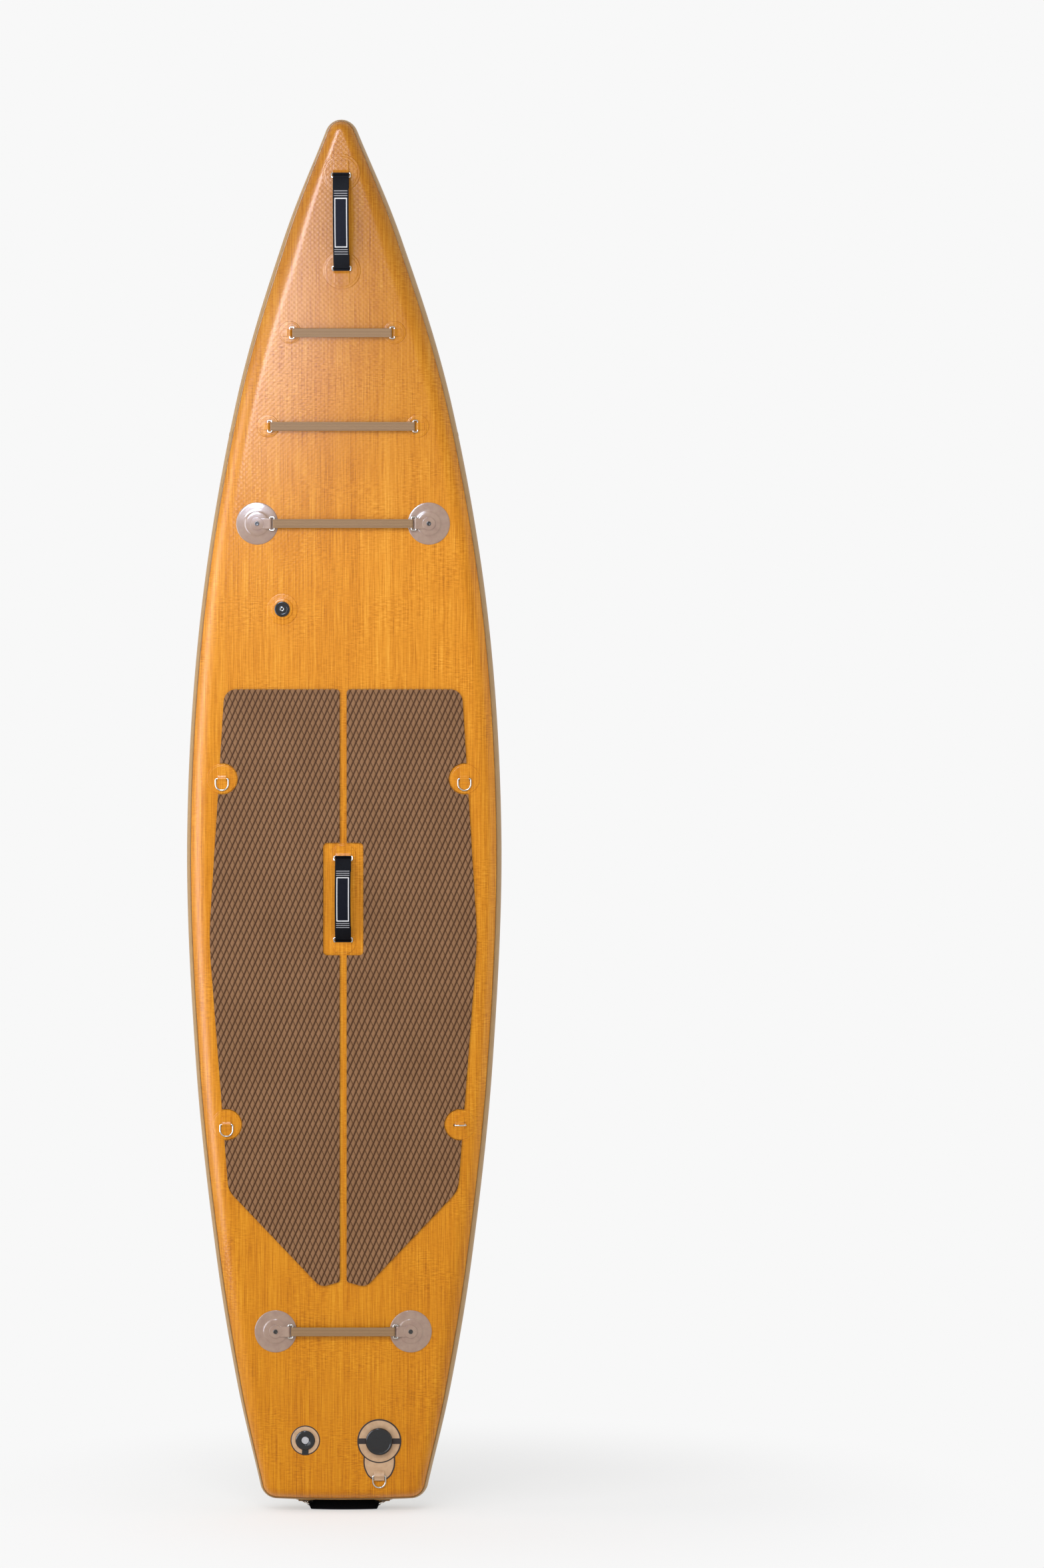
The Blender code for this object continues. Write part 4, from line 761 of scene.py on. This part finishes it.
def webbing_finish(name, striped):
    """Polyester webbing: black and matt, a tight herringbone of threads about 2 mm apart, drawn
    coarser than real so that it shows. White stripes and a plain frame are woven in where asked."""
    made, tree = finish(name, "black_webbing", Roughness=0.8, Specular_IOR_Level=0.10)
    across, along, _ = add(tree, "SeparateXYZ", (add(tree, "UVMap", uv_map="surface")[0],))
    u, v = (add(tree, "Math", (axis,), operation="ABSOLUTE")[0] for axis in (across, along))
    slant = add(tree, "Math", (u, SLANT, along), operation="MULTIPLY_ADD")[0]
    weave = add(tree, "Math", (wave(tree, slant, WEFT), wave(tree, u, WARP)), operation="ADD")
    shade = add(tree, "MapRange", {"Value": weave[0], "From Min": -2.0, "From Max": 2.0})
    tint = add(tree, "ValToRGB", (shade[0],), ((0.1, "040406"), (0.9, "0E0E13")))[0]
    if striped:
        marks = 0.0
        for place in STRIPES:
            near = add(tree, "Math", (v, place, STRIPE_HALF), operation="COMPARE")
            marks = add(tree, "Math", (near[0], marks), operation="MAXIMUM")[0]
        inside = add(tree, "Math", (u, STRIPE_REACH), operation="LESS_THAN")
        marks = add(tree, "Math", (marks, inside[0]), operation="MULTIPLY")[0]
        boxes = []
        for wide, long in FRAME_EDGES:
            one = add(tree, "Math", (u, wide), operation="LESS_THAN")
            two = add(tree, "Math", (v, long), operation="LESS_THAN")
            boxes.append(add(tree, "Math", (one[0], two[0]), operation="MULTIPLY")[0])
        frame_line = add(tree, "Math", boxes, operation="SUBTRACT")[0]
        for area, colour in ((marks, "A4A4AA"), (boxes[1], "0C0D18"), (frame_line, "DCDCE0")):
            tint = add(tree, "Mix", {"Factor": area, "A": tint, "B": linear(colour)},
                       data_type="RGBA")["Result"]
    bump = add(tree, "Bump", {"Height": weave[0], "Strength": 0.5, "Distance": 0.0002})
    paint(tree, Base_Color=tint, Normal=bump[0])
    return made


STRIPED_WEB = webbing_finish("striped_black_webbing", True)
PLAIN_WEB = webbing_finish("plain_black_webbing", False)
WEB_SECTION = strap_section(WEBBING, WEBBING_THICK)

for name, (station, half, radius, outer) in HANDLES.items():
    reach = half - HANDLE_INSET + far_bar(HANDLE_FAR_BAR)
    feet = []
    for end, way, yaw in (("upper", 1, 0), ("lower", -1, 180)):
        seat = seat_at(0, station + way * reach, yaw)
        feet.append(seat[0])
        anchor(f"{name}_patch_{end}", seat, radius, WEBBING, outer, HANDLE_TAB_INNER, WOOD,
               loop=PLAIN_WEB)
        slide_ring(f"{name}_ring_{end}", seat, WEBBING, HANDLE_FAR_BAR)
    span = np.linalg.norm(feet[0] - feet[1])
    along = (feet[0] - feet[1]) / span
    right = np.array([1.0, 0, 0])
    middle = ((feet[0] + feet[1]) / 2, right, along, np.cross(right, along))
    line = strap_line(span / 2 - far_bar(HANDLE_FAR_BAR), HANDLE_FAR_BAR, HANDLE_RISE, WEBBING_THICK,
                      HANDLE_FOLD)
    strap(f"{name}_webbing", line, WEB_SECTION, STRIPED_WEB, middle, half, stands_for=f"{name}_strap")

TAIL_HANDLE_HALF, TAIL_RISE, TAIL_FOLD = 0.098, 0.0020, 0.010
TAIL_ROLL, TAIL_ROLL_EASE = math.radians(30), 0.007
TAIL_PATCH, TAIL_TAB_OUTER = 0.026, 0.018
reach = TAIL_HANDLE_HALF - HANDLE_INSET + far_bar(HANDLE_FAR_BAR)
lift = TAIL_BOW * (reach / TAIL_HALF_EDGE) ** 2 - BAND - 2 * SEAT - ORIGIN
bend = (THICKNESS / 2) ** 2 / RAIL_DEPTH_TAIL
for end, way in (("left", -1), ("right", 1)):
    along = np.array([way, 0, 2 * TAIL_BOW * reach / TAIL_HALF_EDGE**2])
    along /= np.linalg.norm(along)
    out = np.array([along[2] * way, 0, -along[0] * way])
    seat = (np.array([way * reach, -THICKNESS / 2, lift]), np.cross(along, out), along, out)
    anchor(f"tail_handle_patch_{end}", seat, TAIL_PATCH, WEBBING - TAB_LESS, TAIL_TAB_OUTER,
           HANDLE_TAB_INNER, BAND_PVC, drop=lambda x, y: x * x / (2 * bend))
    slide_ring(f"tail_handle_ring_{end}", seat, WEBBING, HANDLE_FAR_BAR)
middle = (np.array([0, -THICKNESS / 2, lift]), *np.array([(0, 1.0, 0), (1.0, 0, 0), (0, 0, -1.0)]))
bars = TAIL_HANDLE_HALF - HANDLE_INSET
line = strap_line(bars, HANDLE_FAR_BAR, TAIL_RISE, WEBBING_THICK, TAIL_FOLD)
slack = eased((bars - np.abs(line[:, 0])) / TAIL_ROLL_EASE) * (line[:, 1] > HANDLE_FAR_BAR)
strap("tail_handle_webbing", line, WEB_SECTION, PLAIN_WEB, middle, TAIL_HANDLE_HALF, TAIL_ROLL * slack,
      stands_for="tail_handle_strap")


# The cargo straps: four flat elastics, an olive woven tube over rubber threads that show as ribs,
# folded round a wire ring at each end. The first two are held by printed patches like the
# handles', the other two by moulded cups with a tab that a socket screw holds down.
ELASTIC, ELASTIC_THICK, ELASTIC_FAR_BAR, ELASTIC_RIBS = 0.0235, 0.0020, 0.0085, 6
ELASTIC_FOLD, ELASTIC_SHARE, ELASTIC_PICKS = 0.022, 0.1, 480.0
ELASTIC_PATCH, ELASTIC_TAB_OUTER, ELASTIC_TAB_INNER = 0.030, 0.018, 0.010
BUNGEES = {1: (LENGTH - 0.554, 0.099), 2: (LENGTH - 0.799, 0.101),
           3: (LENGTH - 1.056, 0.154), 4: (0.456, 0.165)}
CUP_RADIUS, CUP_OFFSET, CUP_HIGH, CUP_BAR, DOME = 0.056, 0.034, 0.0067, 0.0072, 0.032
TAB_WIDTH, TAB, TAB_HEAD = 0.028, 0.0022, 0.0175

# Woven elastic: matt olive tape, ribbed over the rubber threads, with painted shade that darkens the
# valleys between the ribs, and a cross weave of 1.3 mm, drawn coarser than real so that it shows.
OLIVE, tree = finish("olive_elastic_tape", "olive_elastic", Roughness=0.85, Specular_IOR_Level=0.2)
across, along, _ = add(tree, "SeparateXYZ", (add(tree, "UVMap", uv_map="surface")[0],))
# Painted shade: the colour runs darker into the valleys between the ribs and lighter on their tops.
rib = add(tree, "Math", (wave(tree, across, ELASTIC_RIBS * math.pi / 2),), operation="ABSOLUTE")
pick = wave(tree, along, ELASTIC_PICKS)
weave = add(tree, "Math", (pick, 0.22, rib[0]), operation="MULTIPLY_ADD")
tint = add(tree, "ValToRGB", (weave[0],), ((0.0, "71573D"), (0.45, "8A6E4F"), (1.0, "9F8161")))
bump = add(tree, "Bump", {"Height": pick, "Strength": 0.4, "Distance": 0.0002})
paint(tree, Base_Color=tint[0], Normal=bump[0])

# Moulded PVC of the cups: smooth and shiny from the mould, with a faint orange peel.
CUP_PVC = mottled("mauve_tan_moulded_pvc", "mauve_tan_pvc", "93786A", "9F8675", 17, 4.0,
                  (1.4, 2.0, 0.15, 0.0002), Roughness=0.26, Coat_Weight=0.3)

# Blackened steel of the cup screws: a dark, half-dull metal with a fine smear.
DARK_STEEL = mottled("blackened_steel", "stainless_steel", "3C3A38", "585654", 1.7, 3.0, Roughness=0.3,
                     Metallic=1.0)


def half_width(station):
    """The half width of the board at a station, read off its edge."""
    return float(np.interp(station, EDGE[:, 1], EDGE[:, 0]))


CUP_PROFILE = softened([
    (0, -SEAT), (CUP_RADIUS, -SEAT), (CUP_RADIUS, 0.0007), (CUP_RADIUS - 0.003, 0.0017),
    (DOME + 0.006, 0.0026), (DOME + 0.0015, 0.0034), (DOME - 0.0015, 0.0056), (DOME - 0.006, 0.0063),
    (DOME - 0.014, CUP_HIGH), (0, CUP_HIGH)], 0.0016)
TAB_LOW = CUP_HIGH - 0.0003
HEAD_PROFILE = softened([(0, TAB_LOW), (TAB_HEAD, TAB_LOW), (TAB_HEAD, TAB_LOW + TAB + 0.0003),
                         (0, TAB_LOW + TAB + 0.0003)], 0.0009)
SCREW_PROFILE = softened([(0, 0), (0.0060, 0), (0.0060, 0.0014), (0.0052, 0.0019), (0.0035, 0.0019),
                          (0.0031, 0.0006), (0, 0.0006)], 0.0003)
TAB_PATH = softened(np.vstack([
    [(CUP_OFFSET, TAB_LOW + TAB / 2), (CUP_OFFSET - 0.018, TAB_LOW + TAB / 2)],
    arc((0, CUP_BAR), HOOK + TAB / 2, 75, 205, 18)]), 0.003)
TAB_SECTION = strap_section(TAB_WIDTH, TAB)
ELASTIC_SECTION = strap_section(ELASTIC, ELASTIC_THICK, ELASTIC_RIBS)

for number, (station, inset) in BUNGEES.items():
    name, half = f"bungee_{number}", half_width(station) - inset
    cups = number > 2
    near = CUP_BAR if cups else BAR
    for end, way, yaw in (("left", -1, 90), ("right", 1, -90)):
        seat = seat_at(way * half, station, yaw)
        slide_ring(f"{name}_ring_{end}", seat, TAB_WIDTH if cups else ELASTIC, ELASTIC_FAR_BAR, near)
        if not cups:
            anchor(f"{name}_patch_{end}", seat, ELASTIC_PATCH, ELASTIC - TAB_LESS, ELASTIC_TAB_OUTER,
                   ELASTIC_TAB_INNER, WOOD)
            continue
        centre = (seat[0] + seat[2] * CUP_OFFSET, *seat[1:])
        turned(f"{name}_dish_{end}", CUP_PROFILE, CUP_PVC, centre, stands_for=f"{name}_cup_{end}")
        turned(f"{name}_tab_head_{end}", HEAD_PROFILE, CUP_PVC, centre)
        strap(f"{name}_tab_{end}", TAB_PATH, TAB_SECTION, CUP_PVC, seat, CUP_OFFSET)
        top = (centre[0] + seat[3] * (TAB_LOW + TAB), *seat[1:])
        turned(f"{name}_screw_{end}", SCREW_PROFILE, DARK_STEEL, top, 36)
    bars = half - far_bar(ELASTIC_FAR_BAR, near)
    line = strap_line(bars, ELASTIC_FAR_BAR, 0.0, ELASTIC_THICK, ELASTIC_FOLD)
    strap(f"{name}_elastic", line, ELASTIC_SECTION, OLIVE, seat_at(0, station, -90), ELASTIC_SHARE,
          stands_for=f"{name}_strap")


# The side rings: four wire D-rings in the loops of printed patches, whose outer edges bend down
# with the rail. The lower right one stands straight out from the deck.
DEE_WIDTH, DEE_HEIGHT, DEE_CORNER, DEE_SIDES, DEE_PLAY = 0.034, 0.031, 0.004, 14, 0.006
SIDE_PATCH, SIDE_TAB_OUTER, SIDE_TAB_INNER = 0.040, 0.021, 0.014
PAD_TOP, PAD_BOTTOM = LENGTH - 1.496, 0.574
UPPER_STATION, LOWER_STATION = PAD_TOP - 0.238, PAD_BOTTOM + 0.432
SIDE_RINGS = {"upper_left": (-1, UPPER_STATION, 0.092, 0), "upper_right": (1, UPPER_STATION, 0.092, 0),
              "lower_left": (-1, LOWER_STATION, 0.071, 0), "lower_right": (1, LOWER_STATION, 0.071, 90)}
FLAT_EDGE = rail(np.array([math.pi / 2]))[:, 0]


def dee_ring(name, seat, lifted):
    """A D of round wire: a straight bar, two round corners and a half circle, turned up about the
    bar by the given degrees."""
    half = DEE_WIDTH / 2
    path = np.vstack([arc((half - DEE_CORNER, -DEE_CORNER), DEE_CORNER, 90, 0, 9),
                      arc((0, half - DEE_HEIGHT), half, 0, -180, 40),
                      arc((DEE_CORNER - half, -DEE_CORNER), DEE_CORNER, 180, 90, 9)])
    wire_ring(name, path, seat, BAR, math.radians(lifted), DEE_SIDES, name)


for name, (way, station, inset, lifted) in SIDE_RINGS.items():
    x = way * (half_width(station) - inset)
    seat = seat_at(x, station)

    def over_rail(dx, dy):
        """How far the patch bends down past the flat of the deck: along the rail's ellipse."""
        flat_half = np.interp(station - ORIGIN + dy, FLAT_EDGE[:, 2], FLAT_EDGE[:, 0])
        past = np.clip((np.abs(x + dx) - flat_half) / RAIL_DEPTH, 0, 1)
        return THICKNESS / 2 * (1 - np.sqrt(1 - past**2))

    anchor(f"side_patch_{name}", seat, SIDE_PATCH, DEE_WIDTH - WIRE - DEE_PLAY, SIDE_TAB_OUTER,
           SIDE_TAB_INNER, WOOD, drop=over_rail)
    dee_ring(f"side_ring_{name}", seat, lifted)


# The accessory mount: a printed patch and collar that hold a black moulded puck with a threaded
# metal insert, for a camera or rod base.
MOUNT_X, MOUNT_STATION = -0.162, PAD_TOP + 0.213

# Black moulded plastic: near black and glossy from the mould, dulled here and there by scuffs.
BLACK, tree = finish("black_moulded_plastic", "black_plastic")
scuff = add(tree, "TexNoise", {"Vector": add(tree, "TexCoord")["Object"], "Scale": grain(5.6),
                               "Detail": 5.0})
tint = add(tree, "ValToRGB", (scuff[0],), ((0.3, "070709"), (0.75, "101013")))
gloss = add(tree, "MapRange", {"Value": scuff[0], "To Min": 0.10, "To Max": 0.26})
paint(tree, Base_Color=tint[0], Roughness=gloss[0])

seat = seat_at(MOUNT_X, MOUNT_STATION)
turned("mount_collar", softened([
    (0, -SEAT), (0.041, -SEAT), (0.041, 0.0006), (0.0395, 0.0012), (0.0287, 0.0016), (0.0272, 0.0043),
    (0.0225, 0.0052), (0, 0.0052)], 0.0010), WOOD, seat, stands_for="action_mount")
turned("mount_puck", softened([
    (0, 0.0045), (0.0205, 0.0045), (0.0202, 0.0078), (0.0188, 0.0088), (0.0135, 0.0088),
    (0.0130, 0.0082), (0.0075, 0.0082), (0.0070, 0.0088), (0.0052, 0.0088), (0.0052, 0.0060),
    (0, 0.0060)], 0.0006), BLACK, seat)
turned("mount_insert", softened([
    (0.0030, 0.0062), (0.0051, 0.0062), (0.0051, 0.0090), (0.0036, 0.0090), (0.0030, 0.0084),
    (0.0030, 0.0062)], 0.0003), STEEL, seat, 40)


# The inflation valve: a tan plate with a dark outline, whose tongue carries the leash ring, a black
# push valve clamped through the deck, with a sprung grey stem, and a domed screw cap.
PLATE_RADIUS, OUTLINE, SHEET_EASE = 0.0585, 0.0034, 0.0003
TONGUE = [(0.0415, -0.0412), (0.0422, -0.055), (0.0408, -0.0690), (0.0365, -0.0810),
          (0.0305, -0.0920), (0.0200, -0.1010), (0.0090, -0.1055), (0, -0.1065)]
MARK_START, MARK_HALF, MARK_INSET = 0.030, 0.0075, 0.001
BORDER_SUNK, CIRCLE_PROUD, MARK_PROUD = 0.0004, 0.0001, 0.0002
NECK, BORE, FLANGE, VALVE_DEEP, PLATE_HOLE = 0.021, 0.016, 0.034, 0.036, 0.022
CLAMP_GAP, FLANGE_HIGH = 0.0003, 0.004
LEASH_STATION, LEASH_LOOP, LEASH_TAB, LEASH_SHARE = 0.072, 0.0275, (0.013, 0.0125), 0.02
SPIDER_LOW, SPIDER_HIGH, SPIDER_START, SPIDER_BITE, SPIDER_ARM = -0.020, -0.018, 0.0055, 0.0008, 0.0028
STEM_DISC, STEM_HEAD, STEM_STROKE = -0.0203, -0.0030, 0.006
COIL_TURNS, COIL_RADIUS, COIL_WIRE, COIL_LOW, COIL_HIGH, COIL_FOOT = (
    5, 0.0044, 0.0006, -0.0171, -0.0039, 0.0185)

# Tan PVC of the plate: pale film with a fine grit. Dark brown PVC: its printed outline, almost black.
# Grey moulded plastic of the stem: pale, smooth and half dull.
PLATE_PVC = mottled("tan_plate_pvc", "tan_plate_pvc", "B59270", "C4A382", 14, 4.0, (1.1, 2.0, 0.2, 0.0002),
                    Roughness=0.40)
DARK_PVC = mottled("dark_brown_pvc", "tan_plate_pvc", "180D0C", "261715", 11, 3.0, Roughness=0.42)
GREY = mottled("grey_moulded_plastic", "grey_plastic", "ACACB0", "BCBCC0", 3.3, 3.0, Roughness=0.38)


def sheet_ring(name, outline, hole, low, high, material, seat, **ties):
    """A flat ring cut from sheet: an outer outline and a round hole, with a slightly eased edge."""
    bearing = np.arctan2(outline[:, 1], outline[:, 0])
    inner = hole * np.stack([np.cos(bearing), np.sin(bearing)], 1)
    ease = 1 - SHEET_EASE / np.linalg.norm(outline, axis=1)[:, None]
    rows = [(inner, low), (outline, low), (outline, high - SHEET_EASE), (outline * ease, high),
            (inner, high)]
    grid = np.stack([np.column_stack([line, np.full(len(line), z)]) for line, z in rows])
    return grid_mesh(name, put(grid, seat), material, wrap_rows=True, wrap_columns=True, **ties)


def plate_outline(inset):
    """The valve plate's outline, a circle run into a tapering tongue, drawn in by an inset."""
    right = spline(TONGUE, 12)
    start = math.degrees(math.atan2(right[0, 1], right[0, 0]))
    top = arc((0, 0), PLATE_RADIUS, 180 - start, start, 120)[::-1]
    loop = evenly(np.vstack([top, (right * (-1, 1))[1:], right[-2::-1]]), 241)[:-1]
    ahead = np.roll(loop, -1, 0) - np.roll(loop, 1, 0)
    return loop + unit(np.stack([-ahead[:, 1], ahead[:, 0]], 1)) * inset


def circle(radius):
    """A round outline."""
    return arc((0, 0), radius, 0, 360, 145)[:-1]


def bar_of(name, x0, x1, y0, y1, low, high, material, seat, **ties):
    """A flat rectangular block with eased corners."""
    start = ((x0 + x1) / 2, y0)
    outline = softened([start, (x1, y0), (x1, y1), (x0, y1), (x0, y0), start], 0.0008)[:-1]
    grid = np.stack([np.column_stack([outline, np.full(len(outline), z)]) for z in (low, high)])
    return grid_mesh(name, put(grid, seat), material, wrap_columns=True, caps=True, **ties)


seat = seat_at(*VALVE)
sheet_ring("plate_border", plate_outline(0), PLATE_HOLE, -SEAT, PATCH - BORDER_SUNK, DARK_PVC, seat,
           stands_for="valve_plate")
sheet_ring("plate_face", plate_outline(OUTLINE), PLATE_HOLE, 0, PATCH, PLATE_PVC, seat)
sheet_ring("plate_circle", circle(PLATE_RADIUS), PLATE_RADIUS - OUTLINE, 0, PATCH + CIRCLE_PROUD,
           DARK_PVC, seat)
for name, way in (("left", -1), ("right", 1)):
    bar_of(f"plate_mark_{name}", way * MARK_START, way * (PLATE_RADIUS - MARK_INSET), -MARK_HALF,
           MARK_HALF, 0, PATCH + MARK_PROUD, DARK_PVC, seat)
seat = seat_at(VALVE[0], LEASH_STATION)
strap("leash_loop", tab_line(*LEASH_TAB), strap_section(LEASH_LOOP, LOOP), PLATE_PVC, seat, LEASH_SHARE)
dee_ring("leash_ring", seat, 0)

seat = seat_at(*VALVE, lift=0)
low = SEAT + PATCH + CLAMP_GAP
top = low + FLANGE_HIGH
turned("valve_housing", softened([
    (NECK, low), (FLANGE, low), (FLANGE, low + 0.002), (FLANGE - 0.004, top), (BORE + 0.003, top),
    (BORE, top - 0.002), (BORE, -VALVE_DEEP), (NECK, -VALVE_DEEP), (NECK, low)], 0.0008),
    BLACK, seat, stands_for="valve_body")
turned("valve_spider_hub", softened([
    (0.0036, SPIDER_LOW), (0.0060, SPIDER_LOW), (0.0060, SPIDER_HIGH), (0.0036, SPIDER_HIGH),
    (0.0036, SPIDER_LOW)], 0.0003), BLACK, seat, 40)
for k in range(3):
    bar_of(f"valve_spider_arm_{k}", SPIDER_START, BORE + SPIDER_BITE, -SPIDER_ARM, SPIDER_ARM,
           SPIDER_LOW, SPIDER_HIGH, BLACK, seat_at(*VALVE, yaw=60 + 120 * k, lift=0))
turned("valve_pin", softened([
    (0, -0.0005), (0.006, -0.0005), (0.006, STEM_HEAD), (0.0032, STEM_HEAD), (0.0032, STEM_DISC),
    (0.0145, STEM_DISC), (0.0145, STEM_DISC - 0.002), (0, STEM_DISC - 0.002)], 0.0004),
    GREY, seat, 48, stands_for="valve_stem", body="valve_stem")
angle = np.linspace(0, COIL_TURNS * 2 * math.pi, COIL_TURNS * 40)
helix = np.stack([COIL_RADIUS * np.cos(angle), COIL_RADIUS * np.sin(angle),
                  np.linspace(COIL_LOW, COIL_HIGH, len(angle))], 1)
coil = wire("valve_coil", put(helix, seat), COIL_WIRE, STEEL, 10, seat[3], closed=False,
            stands_for="valve_spring")
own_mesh(coil)
base = top + CLAMP_GAP
cap = np.vstack([
    softened([(0, 0.0070), (0.028, 0.0040), (0.030, 0), (0.036, 0), (0.036, 0.0040)], 0.0008),
    spline([(0.0354, 0.0072), (0.0336, 0.0093), (0.0312, 0.0098), (0.0293, 0.0088), (0.0274, 0.0090),
            (0.018, 0.0107), (0.008, 0.0114), (0, 0.0115)], 8)]) + (0, base)
turned("valve_screw_cap", cap, BLACK, seat, 96, stands_for="valve_cap", body="valve_cap")


# The relief valve: a black housing with a grey poppet that lifts when the board is too full, on a
# tan label ring with a dark outline and a dark key below.
LABEL, LABEL_FACE, LABEL_HOLE, LABEL_HIGH, FACE_HIGH = 0.0394, 0.0366, 0.016, 0.0005, 0.0008
KEY_HALF, KEY_LOW, KEY_HIGH, KEY_PROUD = 0.0087, -0.0385, -0.0245, 0.0016
RELIEF_BORE, RELIEF_NECK, RELIEF_FLANGE = 0.0108, 0.015, 0.026
seat = seat_at(*RELIEF, lift=0)
sheet_ring("relief_label_border", circle(LABEL), LABEL_HOLE, 0, LABEL_HIGH, DARK_PVC, seat)
sheet_ring("relief_label_face", circle(LABEL_FACE), LABEL_HOLE, 0, FACE_HIGH, PLATE_PVC, seat)
bar_of("relief_key", -KEY_HALF, KEY_HALF, KEY_LOW, KEY_HIGH, 0, KEY_PROUD, BLACK, seat)
turned("relief_housing", softened([
    (RELIEF_NECK, SEAT), (RELIEF_FLANGE, SEAT), (RELIEF_FLANGE, SEAT + 0.0020),
    (RELIEF_FLANGE - 0.0022, SEAT + 0.0046), (RELIEF_FLANGE - 0.0065, SEAT + 0.0058),
    (RELIEF_FLANGE - 0.0105, SEAT + 0.0048), (RELIEF_BORE + 0.001, SEAT + 0.0030),
    (RELIEF_BORE, SEAT + 0.002), (RELIEF_BORE, -0.004), (0.0030, -0.004), (0.0030, -0.006),
    (RELIEF_BORE, -0.006), (RELIEF_BORE, -0.022), (RELIEF_NECK, -0.022), (RELIEF_NECK, SEAT)], 0.0016),
    BLACK, seat, stands_for="relief_valve_body")
turned("relief_plunger", softened([
    (0, 0.0025), (0.0090, 0.0025), (0.0100, 0.0015), (0.0100, -0.0037), (0.0026, -0.0037),
    (0.0026, -0.0155), (0, -0.0155)], 0.0005), GREY, seat, 56, stands_for="relief_poppet",
    body="relief_poppet")


# The fin: a moulded nylon foil with a swept outline, which slides by a T foot into the slotted box
# glued to the underside near the tail.
FIN_ROOT, FIN_DEPTH, FIN_START, FIN_MIDDLE = 0.190, 0.225, 0.0292, 0.440 - ORIGIN
FIN_THICK, FIN_SWEEP, FIN_RAKE, FIN_TIP = 0.0085, 0.150, 0.062, 0.86
FIN_SWEEP_POWER, FIN_RAKE_POWER, FIN_TIP_END, FIN_TIP_BACK, FIN_TIP_POWER = 1.4, 0.8, 1.002, 0.020, 6
FIN_TAPER, FIN_FULL, FIN_EDGE = 0.65, 1.3, 0.04
FIN_ROWS, FIN_COLUMNS, FOOT_HALF = 60, 72, 0.075
FEET = {"tongue": (0.0046, -0.0295, -0.0125), "tee": (0.0086, -0.0124, -0.0052)}

# Glass-filled nylon: black and half dull, with a fine grit from the mould.
NYLON = mottled("black_nylon", "fin_black_plastic", "161618", "222226", 2.0, 4.0, (2.0, 4.0, 0.3, 0.0002),
                Roughness=0.45)
dressed("fin_box", NYLON)

# The foil: at each step down the span a leading and a trailing edge, between them a section whose
# thickness goes with the root of the way along the chord, closed round at the tip by an ellipse.
span = np.sin(np.linspace(0, math.pi / 2, FIN_ROWS))
lead = FIN_ROOT / 2 - FIN_SWEEP * span**FIN_SWEEP_POWER
trail = -FIN_ROOT / 2 - FIN_RAKE * np.sin(span * math.pi / 2) ** FIN_RAKE_POWER
trail = trail + FIN_TIP_BACK * span**FIN_TIP_POWER
tip = np.sqrt(1 - np.clip((span - FIN_TIP) / (FIN_TIP_END - FIN_TIP), 0, 1) ** 2)
middle, chord = (lead + trail) / 2, (lead - trail) * tip
around = np.arange(FIN_COLUMNS) * 2 * math.pi / FIN_COLUMNS
along = (1 + np.cos(around)) / 2
bulge = np.sign(np.sin(around)) * np.sqrt(along) * (1 - along) * FIN_FULL + FIN_EDGE * np.sin(around)
thick = FIN_THICK * (1 - FIN_TAPER * span) * np.sqrt(tip)
down = np.broadcast_to((FIN_START + FIN_DEPTH * span)[:, None], (FIN_ROWS, FIN_COLUMNS))
grid = np.stack([np.outer(thick, bulge) / 2, down,
                 FIN_MIDDLE + middle[:, None] + np.outer(chord, 0.5 - along)], 2)
grid_mesh("fin_blade", grid, NYLON, wrap_columns=True, caps=True, stands_for="fin", body="fin")
seat = (np.array([0, 0, FIN_MIDDLE]), *np.array([(1.0, 0, 0), (0, 0, 1.0), (0, -1.0, 0)]))
for name, (half, low, high) in FEET.items():
    bar_of(f"fin_{name}", -half, half, -FOOT_HALF, FOOT_HALF, low, high, NYLON, seat, body="fin")


# The joints of the rail band: the band is laid on in lengths, and where two meet one laps over the
# other, on each side level with the second cargo strap.
JOINT_LOW, JOINT_HIGH, JOINT_SUNK, JOINT_PROUD = 2.838, 2.852, -0.0004, 0.0007
inside = (EDGE[:, 1] > JOINT_LOW) & (EDGE[:, 1] < JOINT_HIGH)
lower, upper = (rail(BAND_ANGLES, SEAT + BAND + high)[inside] for high in (JOINT_SUNK, JOINT_PROUD))
grid = np.concatenate([upper, lower[:, ::-1]], 1)
for name, sign in (("right", 1), ("left", -1)):
    grid_mesh(f"band_joint_{name}", grid * (sign, 1, 1), BAND_PVC, wrap_columns=True, caps=True)
